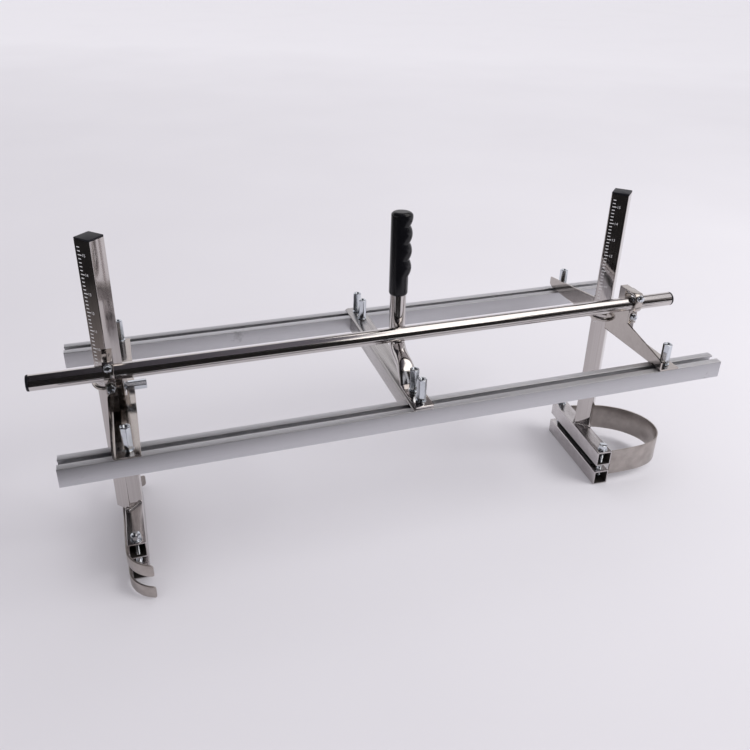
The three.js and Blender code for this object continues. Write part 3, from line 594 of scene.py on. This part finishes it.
for side, web_x in web_xs.items():
    rides = side + "_bracket_set"
    bend_x, tip_x = web_x - u_bend_start, web_x + u_leg_reach
    bow = arc(bend_x, 0, leg_spacing, 90, 270, 40, u_bend_reach / leg_spacing)
    path = [Vector((x, y, leg_height)) for x, y in (
        (tip_x, leg_spacing), (tip_x - u_chamfer, leg_spacing), *bow,
        (tip_x - u_chamfer, -leg_spacing), (tip_x, -leg_spacing))]
    radii = [rod_diameter / 2] * len(path)
    radii[0] = radii[-1] = rod_diameter / 2 - u_chamfer
    rod = lofted([hoop(path, i, radius, 20) for i, radius in enumerate(radii)])
    fitted(rod, side + "_u_bolt_rod", nickel, rides, [side + "_u_bolt"])
    inner = web_x + saddle_stand
    tip = web_x + post_past_web + post_half_diagonal + 0.14
    outer, outer_tip = inner + saddle_thick, tip + saddle_thick * math.sqrt(2)
    plate = prism(rounded([
        (inner, -saddle_half), (outer, -saddle_half),
        (outer, outer - outer_tip, 1.5), (outer_tip, 0, 3), (outer, outer_tip - outer, 1.5),
        (outer, saddle_half), (inner, saddle_half),
        (inner, tip - inner, 3.5), (tip, 0, 0.4), (inner, inner - tip, 3.5)]),
        "Z", saddle_low, saddle_high)
    plate = combined("INTERSECT", plate, prism(
        rectangle(-saddle_half, saddle_half, saddle_low, saddle_high, 3), "X", web_x, web_x + 60))
    plate = cut(plate, *[hole(3.25, "X", way * leg_spacing, leg_height, inner - past, outer + past)
                         for way in (-1, 1)])
    fitted(softened(plate, 0.4), side + "_saddle_plate", nickel, rides,
           [side + "_post_saddle"])

# Long nuts: 31 mm hex bar nuts with chamfered ends and a thread right
# through, on a spring washer and a plain one. They clamp the brackets and the
# brace to the rails, and shorter ones draw up the U-bolts. Bright zinc plate.
nut_width, long_nut, u_nut = 11.5, 31.0, 27.0
washer_d, washer_thick, stud_d = 14.0, 1.2, 6.0
stud_rise, slot_head_side, slot_head_height = 27.0, 14.0, 4.0
nut_spring_d, nut_spring, plain_head, plain_head_height = 10.6, 1.7, 10.0, 4.0
foot_top, brace_sheet, brace_bolt_x, handle_bolt_y, inner_bolt_y = 6.1, 3.0, -9.5, -116.0, 117.0


def long_nut_body(length):
    """Washer, spring washer and nut on z = 0, with a threaded bore."""
    top = length + washer_thick
    nut = moved(hex_block(nut_width, length - nut_spring), z=washer_thick + nut_spring)
    thread = stud(stud_d + 0.3, -past, top + past, 1.0)
    countersink = turned([(0, top - 0.7), (2.6, top - 0.7), (4.1, top + 0.8), (0, top + 0.8)])
    spring = cut(moved(washer(nut_spring_d, nut_spring, stud_d + 0.4, 0.2), z=washer_thick),
                 moved(prism(rectangle(2, 8, -0.4, 0.4), "Z", 0, 4), angle=250))
    return together(cut(nut, thread, countersink), spring,
                    washer(washer_d, washer_thick, stud_d + 0.4))


clamps = [(f"{side}_{end}", web_x + bolt_in_foot, y, sheet, side + "_bracket_set")
          for side, web_x in web_xs.items() for end, y in (("front", -rail_y), ("rear", rail_y))]
clamps += [(name, brace_bolt_x, y, seat, "brace_set") for name, y, seat in (
    ("brace_front", -rail_y, foot_top), ("brace_rear", rail_y, brace_sheet),
    ("handle_foot", handle_bolt_y, foot_top), ("brace_inner", inner_bolt_y, brace_sheet))]
for i, (name, x, y, seat, rides) in enumerate(clamps):
    nut = moved(long_nut_body(long_nut), x, y, seat + hair, "Z", 17 * i + 8)
    fitted(nut, name + "_nut_and_washer", zinc, rides, [name + "_long_nut"])
    if name in ("handle_foot", "brace_inner"):
        # A plain hex bolt through the brace, its head inside the frame
        top, replaced = -hair, name + "_bolt"
        head = moved(hex_block(plain_head, plain_head_height, 0.15), z=top - plain_head_height)
    else:
        # A square head under the rail's lips, its stud up through the slot
        half, top, replaced = slot_head_side / 2, -slot_lip - hair, name + "_slot_bolt"
        head = softened(prism(rectangle(-half, half, -half, half, 0.8), "Z",
                              top - slot_head_height, top), 0.4)
    bolt = moved(together(head, stud(stud_d, top - hair, stud_rise, 1.0)), x, y)
    fitted(bolt, name + "_stud", zinc, rides, [replaced])
for side, web_x in web_xs.items():
    for end, way in (("front", -1), ("rear", 1)):
        seat = web_x + saddle_stand + saddle_thick + hair
        nut = moved(moved(long_nut_body(u_nut), angle=11 * way),
                    seat, way * leg_spacing, leg_height, "Y", 90)
        fitted(nut, f"{side}_{end}_u_nut_and_washer", zinc, side + "_bracket_set",
               [f"{side}_{end}_u_bolt_nut"])

# Handlebar: 20 mm steel tube, polished and nickel plated, with a black
# moulded plug pressed into each end.
bar_left, bar_right, bar_wall, bar_edge = -478.0, 415.5, 1.5, 0.3
plug_rim, plug_reach = 3.0, 14.0


def polished_tube(name, stretch):
    """Nickel on tube. Polishing runs along it, so the streaks are long and hair thin."""
    return surface(name, {"streaks": (stretch, 4.0)}, ("streaks", "#BDB8B6", "#D8D4D2"),
                   ("streaks", 0.05, 0.14, 0.3, 0.7), None, metal)


tube_nickel = polished_tube("polished_nickel_tube", (3.0, 700.0, 700.0))
# Fine spark-eroded mould grain, about 0.2 mm, drawn at 0.8
black_plastic = surface("moulded_black_plastic", {"grain": (1200.0, 3.0)},
                        ("grain", "#0F0F15", "#1A1A21"), ("grain", 0.38, 0.55),
                        ("grain", 0.3, 0.00006), {"IOR": 1.52, "Specular IOR Level": 0.25})

bar_length, bore = bar_right - bar_left, bar_radius - bar_wall
tube = turned([
    (bore, 0), (bar_radius - bar_edge, 0), (bar_radius, bar_edge),
    (bar_radius, bar_length - bar_edge), (bar_radius - bar_edge, bar_length),
    (bore, bar_length), (bore, 0)], 96)
fitted(moved(tube, bar_left, bar_y, bar_z, "Y", 90), "handlebar_tube", tube_nickel,
       "handlebar_set", ["handlebar"])
for name, end_x, way in (("left_bar_plug", bar_left, -1), ("right_bar_plug", bar_right, 1)):
    stem = bore - hair
    plug = turned([
        (0, -plug_reach), (stem, -plug_reach), (stem, hair), (bar_radius, hair),
        (bar_radius, plug_rim - 1.2), (bar_radius - 0.35, plug_rim - 0.4),
        (bar_radius - 1.2, plug_rim), (0, plug_rim)], 64)
    plug = moved(plug, end_x, bar_y, bar_z, "Y", way * 90)
    fitted(plug, name + "_cap", black_plastic, "handlebar_set", [name])

# Centre brace: a 3 mm strip folded down along one edge to stiffen it, laid
# across both rails and bolted through its flat. Dull plated sheet with the
# fine rolling lines of the mill still on it.
brace_x, brace_width, brace_drop = -25.0, 27.5, 22.0

# Rolling lines along the strip, under 1 mm apart
brushed = surface("rolled_plated_sheet", {"lines": ((1500.0, 14.0, 1500.0), 3.0)},
                  ("lines", "#A6A2A0", "#C4C1C0"), ("lines", 0.2, 0.36),
                  ("lines", 0.2, 0.00008), metal)

inside, brace_edge = rail_y - rail_width / 2 - 0.5, brace_x + brace_width
strip = prism(rounded([
    (brace_sheet, brace_x, 4.2), (brace_sheet, brace_edge), (0, brace_edge),
    (0, brace_x + brace_sheet, 1.4), (-brace_drop, brace_x + brace_sheet),
    (-brace_drop, brace_x)], steps=6), "Y", -foot_half, foot_half)
strip = cut(
    strip,
    *[prism(rectangle(-brace_drop - past, 0, brace_x - past, brace_edge + past), "Y", *span)
      for span in ((-foot_half - past, -inside), (inside, foot_half + past))],
    *[hole(bolt_hole, "Z", brace_bolt_x, y, -past, brace_sheet + past)
      for y in (-rail_y, handle_bolt_y, inner_bolt_y, rail_y)])
fitted(softened(strip, 0.35), "brace_folded_strip", brushed, "brace_set",
       ["centre_brace"])

# Push handle: 22 mm polished tube bent forward under the handlebar and
# pressed flat into a foot with two bolt holes. Nickel plated.
handle_d, handle_y, handle_rise, handle_bend_z = 22.0, -43.0, 224.0, 52.0
handle_foot_width, handle_foot_thick, handle_foot_start = 26.0, 3.0, -99.0
forward_shares = [0, 0.06, 0.22, 0.45, 0.68, 0.87, 1]
height_shares = [1, 0.76, 0.58, 0.47, 0.37, 0.2, 0]
flat_shares = [0, 0, 0, 0.06, 0.3, 0.75, 1]


def curve_through(stops, count):
    """Points on one smooth line through the stops."""
    points = []
    spans = len(stops) - 1
    for i in range(count + 1):
        place_on = spans * i / count
        first = min(int(place_on), spans - 1)
        share = place_on - first
        p1, p2 = stops[first], stops[first + 1]
        p0 = stops[first - 1] if first else p1 * 2 - p2
        p3 = stops[first + 2] if first + 2 <= spans else p2 * 2 - p1
        d0, d1, d2 = [(b - a).length ** 0.5 for a, b in ((p0, p1), (p1, p2), (p2, p3))]
        out = ((p1 - p0) / d0 - (p2 - p0) / (d0 + d1) + (p2 - p1) / d1) * d1
        on = ((p2 - p1) / d1 - (p3 - p1) / (d1 + d2) + (p3 - p2) / d2) * d1
        s2, s3 = share * share, share ** 3
        points.append(p1 * (2 * s3 - 3 * s2 + 1) + out * (s3 - 2 * s2 + share)
                      + p2 * (3 * s2 - 2 * s3) + on * (s3 - s2))
    return points


def squared(share, power):
    """A sine or cosine pushed towards its ends, which squares a circle off."""
    return math.copysign(abs(share) ** power, share)


# A station holds how flat the tube is there, from 0 to 1, then its y and z
foot_z = brace_sheet + hair + handle_foot_thick / 2
stops = [Vector((flat, handle_y + (handle_foot_start - handle_y) * forward,
                 foot_z + (handle_bend_z - foot_z) * height))
         for forward, height, flat in zip(forward_shares, height_shares, flat_shares)]
stations = [Vector((0, handle_y, handle_rise)), *curve_through(stops, 48),
            Vector((1, 1.2 - foot_half, foot_z)), Vector((1, -foot_half, foot_z))]
rings = []
for i, (flat, y, z) in enumerate(stations):
    flat = min(max(flat, 0), 1)
    run = stations[max(i - 1, 0)] - stations[min(i + 1, len(stations) - 1)]
    up = run.yz.orthogonal().normalized()
    end_in = 0.8 if i == len(stations) - 1 else 0
    half_width = handle_d / 2 + (handle_foot_width - handle_d) / 2 * flat - end_in
    half_thick = handle_d / 2 + (handle_foot_thick - handle_d) / 2 * flat - end_in * 0.6
    power = 2 / (2 + 4 * flat)
    ring = []
    for k in range(48):
        across, rise, _ = on_circle(1, k, 48, 0)
        rise = squared(rise, power) * half_thick
        ring.append((brace_bolt_x + squared(across, power) * half_width,
                     y + up[0] * rise, z + up[1] * rise))
    rings.append(ring)
handle = cut(lofted(rings), *[hole(bolt_hole, "Z", brace_bolt_x, y, 0, 12)
                              for y in (-rail_y, handle_bolt_y)])
fitted(handle, "push_handle_tube",
       polished_tube("polished_nickel_upright_tube", (700.0, 60.0, 3.0)),
       "brace_set", ["push_handle"], 50)

# Grip: a moulded rubber sleeve with four finger swells on one side and a
# domed closed end, pushed on to the handle.
grip_bottom, grip_top, grip_radius, dome, lip = 115.0, 230.0, 12.7, 4.5, 2.0
swell_high, swell_pitch, swell_start, swell_turn, swell_power = 3.5, 23.25, 142.0, -19.0, 1.6

# Soft skin of plasticised rubber: dull clouds a few millimetres across
rubber = surface("moulded_grip_rubber", {"clouds": (260.0, 5.0), "pores": (1500.0, 2.0)},
                 ("clouds", "#09090C", "#141418"), ("clouds", 0.14, 0.22),
                 ("pores", 0.25, 0.0001), {"IOR": 1.5, "Specular IOR Level": 0.3})


def grip_ring(z, inset, steps=72):
    phase = (z - swell_start) / swell_pitch
    wave = abs(math.sin(phase * math.pi)) ** 0.8 if phase > 0 else 0
    ring = []
    for k in range(steps):
        off = 2 * math.pi * k / steps - math.radians(swell_turn)
        radius = grip_radius - inset + swell_high * wave * max(math.cos(off), 0) ** swell_power
        x, y, _ = on_circle(radius, k, steps, z)
        ring.append((brace_bolt_x + x, handle_y + y, z))
    return ring


crown = grip_top - dome
rings = [grip_ring(grip_bottom + rise, inset)
         for rise, inset in ((0, lip), (0.7, 0.9), (lip, 0.2), (lip + 1, 0))]
rings += [grip_ring(swell_start + (crown - swell_start) * i / 96, 0) for i in range(97)]
rings += [grip_ring(crown + dome * math.sin(t), dome * (1 - math.cos(t)) * 1.4)
          for t in map(math.radians, (12, 24, 36, 48, 60, 72, 82, 90))]
sleeve = cut(lofted(rings), hole(handle_d / 2 + hair, "Z", brace_bolt_x, handle_y,
                                 grip_bottom - past, handle_rise + hair))
fitted(sleeve, "push_handle_rubber_grip", rubber, "brace_set",
       ["push_handle_grip"], 60)

# Depth posts: 25 mm square tube set with a corner forward, polished and
# nickel plated, closed by a black moulded cap. An inch scale is etched down
# the left front face, counted from the post's foot. Its marks are drawn
# coarser than real ones, five to the inch, so that they show.
post_side, post_wall, post_bottom, post_top, post_corner = 25.0, 1.5, -185.0, 215.0, 1.4
cap_thick, cap_plug, cap_wall, bore_corner = 2.6, 12.0, 1.6, 0.8
inch, ticks_to_inch, tick_half, tick_from, tick_reach, inch_reach = 25.4, 5, 0.62, 4.0, 4.2, 6.0
mark_thick, mark_under, numeral_size, numeral_from = 0.05, 0.03, 5.4, 10.6
# The fifths of an inch and the inches that stand clear of bracket and cap
ticks_from_foot, numerals_from_foot = range(38, 78), range(8, 16)
post_xs = {"saw": -390.5, "nose": 351.5}


def diamond(side, x, radius=0.0):
    reach = side / math.sqrt(2)
    return rounded([(x + reach, 0), (x, reach), (x - reach, 0), (x, -reach)], radius, 6)


# Etching leaves a frosted floor, its grain drawn at 0.4 mm to show at all
etched = surface("etched_nickel_marks", {"frost": (2500.0, 2.0)}, ("frost", "#CFCED0", "#F4F4F5"),
                 sockets={"Roughness": 0.75, "Metallic": 0.15})
# Drawn tube is flat and true, so what it mirrors stays in one piece. Draw
# lines run up the tube, some 2 mm apart, drawn wider than they are
post_nickel = surface("polished_nickel_square_tube", {"lines": ((420.0, 420.0, 2.0), 3.0)},
                      ("lines", "#B1ABA8", "#CDC8C6"), ("lines", 0.04, 0.12, 0.3, 0.7),
                      None, metal)


def scale_marks(post_x):
    """Ticks and numerals on the left front face, as one thin piece."""
    face = (Matrix.Translation((post_x - post_half_diagonal, 0, 0))
            @ turn(-45, "Z") @ turn(90, "X"))
    shape = bmesh.new()
    for from_foot in ticks_from_foot:
        z = post_bottom + from_foot * inch / ticks_to_inch
        reach = tick_reach if from_foot % ticks_to_inch else inch_reach
        verts = [shape.verts.new(face @ Vector((tick_from + u * reach, z + v * tick_half, w)))
                 for w in (-mark_under, mark_thick) for u, v in ((0, -1), (1, -1), (1, 1), (0, 1))]
        for quad in ("0123", "4567", "0154", "1265", "2376", "3047"):
            shape.faces.new([verts[int(i)] for i in quad])
    marks = [body_of(shape)]
    for number in numerals_from_foot:
        text = bpy.data.curves.new("numeral", "FONT")
        text.body, text.size = str(number), numeral_size
        text.align_y, text.extrude = "CENTER", mark_thick / 2
        holder = in_scene("numeral", text)
        mesh = mesh_now(holder)
        bpy.data.objects.remove(holder)
        mesh.transform(face @ Matrix.Translation((numeral_from, post_bottom + number * inch, 0.01)))
        marks.append(in_scene("numeral", mesh))
    return together(*marks)


for side, x in post_xs.items():
    rides = side + "_post_set"
    bore_side = post_side - 2 * post_wall
    stem_side, stem_low = bore_side - 0.2, post_top - cap_plug
    post = cut(prism(diamond(post_side, x, post_corner), "Z", post_bottom, post_top),
               prism(diamond(bore_side, x, bore_corner), "Z",
                     post_bottom - past, post_top + past))
    fitted(post, side + "_post_tube", post_nickel, rides, [side + "_post"])
    fitted(scale_marks(x), side + "_post_scale", etched, rides, [])
    lid = prism(diamond(post_side, x, post_corner), "Z", post_top + hair, post_top + cap_thick)
    stem = cut(prism(diamond(stem_side, x, bore_corner), "Z", stem_low, post_top + 0.3),
               prism(diamond(stem_side - 2 * cap_wall, x), "Z", stem_low - 1, post_top - 1))
    fitted(together(softened(lid, 0.8, 3), stem), side + "_post_end_cap", black_plastic, rides,
           [side + "_post_cap"])

# Jaws: 25 mm square tube, sawn to 160 mm and plated after welding. The
# upper one is welded under its post, the lower one hangs on two bolts. The
# cut ends stay open, and their inside is painted dark as shade.
jaw_side, jaw_wall, jaw_length, jaw_front, jaw_gap, jaw_corner = 25.0, 2.0, 160.0, -90.0, 12.0, 1.6
jaw_top = post_bottom - hair
jaw_bottom = jaw_top - jaw_side
low_jaw_top = jaw_bottom - jaw_gap
low_jaw_bottom = low_jaw_top - jaw_side
jaw_rear = jaw_front + jaw_length
jaw_bolt_in, jaw_bolt_d = 8.5, 8.0
jaw_bolt_ys = {"front": jaw_front + jaw_bolt_in, "rear": jaw_rear - jaw_bolt_in}
jaw_xs = {"saw": post_xs["saw"] + 5.0, "nose": post_xs["nose"] - 9.0}
jaw_turns = {"saw": 0.0, "nose": -3.4}
bead_radius, bead_squat, bead_rise = 2.3, 0.85, 0.9

# Drawn tube keeps die lines along it, less than 1 mm apart
satin_nickel = surface("satin_nickel_on_tube", {
    "lines": ((1500.0, 12.0, 1500.0), 4.0), "clouds": (90.0, 5.0)},
    ("clouds", "#B2ADAD", "#D0CCCC"), ("lines", 0.16, 0.3), None, metal)
# Painted shade: the faces inside the tube are near black, blotched at 5 mm,
# for the shade that falls in the tube
painted_tube_shade = surface("tube_inside_painted_shade", {"scale": (200.0, 5.0)},
                     ("scale", "#1A1817", "#35302D"), sockets={"Roughness": 0.7})


def post_turn(side, way=1):
    """The turn of that side's jaw set about its post's centre line."""
    x = post_xs[side]
    return (Matrix.Translation((x, 0, 0)) @ turn(way * jaw_turns[side], "Z")
            @ Matrix.Translation((-x, 0, 0)))


def about_post(body, side):
    body.data.transform(post_turn(side))
    return body


def square_tube(x, bottom):
    half, middle = jaw_side / 2, bottom + jaw_side / 2
    inner = half - jaw_wall
    outside = prism(rectangle(middle - half, middle + half, x - half, x + half, jaw_corner),
                    "Y", jaw_front, jaw_rear)
    return cut(softened(outside, 0.3), prism(
        rectangle(middle - inner, middle + inner, x - inner, x + inner, bore_corner),
        "Y", jaw_front - past, jaw_rear + past))


def weld_bead(side, steps=60):
    """Ripples of weld round the post's foot, where the jaw is under it."""
    post_x, jaw_x = post_xs[side], jaw_xs[side]
    half_jaw, reach = jaw_side / 2 - 0.8, post_half_diagonal
    x0, x1 = max(post_x - reach, jaw_x - half_jaw), min(post_x + reach, jaw_x + half_jaw)
    xs = [x0 + (x1 - x0) * i / steps for i in range(steps + 1)]
    beads = []
    for way in (-1, 1):
        path = [Vector((x, way * (reach - abs(x - post_x) + bead_rise), jaw_top + bead_rise))
                for x in xs]
        rings = []
        for i in range(steps + 1):
            ripple = 1 + 0.16 * math.sin(i * 1.9) + 0.07 * math.sin(i * 0.7 + side.count("a"))
            size = bead_radius * ripple * min(1, 0.25 + 0.2 * min(i, steps - i))
            rings.append(hoop(path, i, size, 16, bead_squat))
        beads.append(lofted(rings))
    return together(*beads)


for side, jaw_x in jaw_xs.items():
    for name, bottom, hole_low, rides in (
            ("upper_jaw", jaw_bottom, jaw_bottom - past, side + "_post_set"),
            ("lower_jaw", low_jaw_bottom, low_jaw_bottom + jaw_side / 2, side + "_lower_jaw_set")):
        holes = [hole((jaw_bolt_d + 0.5) / 2, "Z", jaw_x, y, hole_low, bottom + jaw_side + past)
                 for y in jaw_bolt_ys.values()]
        tube = about_post(cut(square_tube(jaw_x, bottom), *holes), side)
        fitted(tube, f"{side}_{name}_tube", satin_nickel, rides,
               [f"{side}_{name}"]).data.materials.append(painted_tube_shade)
        # Faces inside the bore take the painted shade, the tube's second material
        reach = jaw_side / 2 - jaw_wall + 0.2
        for face in tube.data.polygons:
            centre = post_turn(side, -1) @ ((face.center - datum) / mm)
            if (abs(centre.x - jaw_x) < reach and abs(centre.z - bottom - jaw_side / 2) < reach
                    and jaw_front + 0.5 < centre.y < jaw_rear - 0.5):
                face.material_index = 1
    fitted(weld_bead(side), side + "_post_weld", satin_nickel, side + "_post_set",
           [])

# Pads: black rubber strips glued to the inner faces of the jaws, with a
# thick land near each end that takes the saw's guide bar.
pad_width, pad_strip, pad_land, pad_land_length, pad_margin = 19.0, 1.4, 3.4, 34.0, 20.0

pad_rubber, tree, shader = new_material("cut_pad_rubber")
place = add_node(tree, "TexCoord").outputs["Object"]
# Sheet rubber with a cloth print of 0.7 mm
weave = add_node(tree, "TexVoronoi", {"Vector": place, "Scale": 1400.0}).outputs["Distance"]
tone = add_node(tree, "Mix", {0: weave, 6: linear("#1C1C1C"), 7: linear("#101010")},
                data_type="RGBA")
relief = add_node(tree, "Bump", {"Height": weave, "Strength": 0.3, "Distance": 0.0001})
feed(shader, {"Base Color": tone.outputs[2], "Normal": relief.outputs["Normal"],
              "Roughness": 0.75})

for side, jaw_x in jaw_xs.items():
    for name, face, way, rides in (
            ("upper_pad", jaw_bottom, -1, side + "_post_set"),
            ("lower_pad", low_jaw_top, 1, side + "_lower_jaw_set")):
        start, end = jaw_front + pad_margin, jaw_rear - pad_margin
        land_end, land_start = start + pad_land_length, end - pad_land_length
        near = face + way * hair
        strip, land = near + way * pad_strip, near + way * pad_land
        pad = prism([
            (start, near), (start, land), (land_end, land), (land_end, strip),
            (land_start, strip), (land_start, land), (end, land), (end, near)],
            "X", jaw_x - pad_width / 2, jaw_x + pad_width / 2)
        fitted(about_post(softened(pad, 0.4), side), f"{side}_{name}_strip", pad_rubber, rides,
               [f"{side}_{name}"])

# Jaw bolts: M8 hex bolts through both jaws, each with a spring washer on a
# plain one. Bright zinc plate, with the thread open to view in the gap.
jaw_head, jaw_head_height, jaw_washer, jaw_washer_thick = 12.0, 5.4, 15.0, 1.6
spring_d, spring_thick, bolt_tip = 12.6, 2.2, 11.5

for side, jaw_x in jaw_xs.items():
    for end, head_turn, spring_turn in (("front", 24, 200), ("rear", 8, 60)):
        seat = jaw_top + hair
        spring_low = seat + jaw_washer_thick
        head_low = spring_low + spring_thick
        spring = cut(washer(spring_d, spring_thick, 8.6, 0.3), moved(
            prism(rectangle(3, 8, -0.5, 0.5), "Z", -1, 4), angle=spring_turn))
        bolt = together(
            moved(hex_block(jaw_head, jaw_head_height), z=head_low, angle=head_turn),
            moved(washer(jaw_washer, jaw_washer_thick, 8.4), z=seat),
            moved(spring, z=spring_low),
            stud(jaw_bolt_d, low_jaw_top - bolt_tip, head_low + hair, 1.25))
        fitted(about_post(moved(bolt, jaw_x, jaw_bolt_ys[end]), side),
               f"{side}_{end}_hex_jaw_bolt", zinc, side + "_post_set",
               [f"{side}_{end}_jaw_bolt"])

# Nose guard and hook strips: steel strip bent to shape, ground across its
# width and nickel plated, welded flat to the outer faces of the jaws. The
# grinding lines run up the strip and dull its reflections.
guard_height, guard_thick, guard_reach = 45.0, 2.0, 109.0
out_shares = [0, 0.299, 0.587, 0.806, 0.95, 1, 0.945, 0.767, 0.438, 0]
along_shares = [-0.98, -0.968, -0.916, -0.794, -0.575, -0.275, 0.038, 0.356, 0.625, 0.75]
hook_height, hook_thick, hook_radius, hook_angle = 18.0, 2.5, 45.0, 74.0
hook_out, hook_corner = 2.0, 4.0

# Grinding lines less than 1 mm apart, and dull clouds some 15 mm across
strip_nickel = surface("ground_nickel_strip", {
    "lines": ((1100.0, 1100.0, 40.0), 4.0, 0.6), "clouds": (60.0, 4.0)},
    ("clouds", "#8D8580", "#CAC3BE"), ("lines", 0.22, 0.4), ("lines", 0.25, 0.0001), metal)

face = jaw_xs["nose"] + jaw_side / 2 + hair
middle = (jaw_front + jaw_rear) / 2
guard_low = jaw_top - guard_height
stops = [Vector((face + guard_reach * out, middle + share * jaw_length / 2))
         for out, share in zip(out_shares, along_shares)]
guard = cut(
    prism(ribbon(curve_through(stops, 120), guard_thick), "Z", guard_low, jaw_top),
    prism(rectangle(face - guard_reach, face, jaw_front - 150, jaw_rear + 150),
          "Z", guard_low - past, jaw_top + past))
fitted(about_post(softened(guard, 0.4), "nose"), "nose_guard_strip", strip_nickel,
       "nose_post_set", ["nose_guard"], 40)

for name, base, rides in (("saw_upper_hook_strip", jaw_bottom, "saw_post_set"),
                          ("saw_lower_hook_strip", low_jaw_bottom, "saw_lower_jaw_set")):
    line_x = jaw_xs["saw"] - jaw_side / 2 - hair - hook_thick / 2
    bend = hook_radius - hook_thick / 2
    path = [*arc(line_x + bend, jaw_front - hook_out, bend, 180 + hook_angle, 180, 28),
            *arc(line_x + bend, jaw_rear + hook_out, bend, 180, 180 - hook_angle, 28)]
    bottom = base + (jaw_side - hook_height) / 2
    top = bottom + hook_height
    tip = line_x + bend * (1 - math.cos(math.radians(hook_angle)))
    left = line_x - hook_thick
    strip = combined("INTERSECT", prism(ribbon(path, hook_thick), "Z", bottom, top), prism(rounded([
        (bottom, left), (top, left), (top, tip, hook_corner), (bottom, tip, hook_corner)]),
        "Y", -250, 250))
    fitted(softened(strip, 0.4), name + "_bar", strip_nickel, rides, [name], 40)
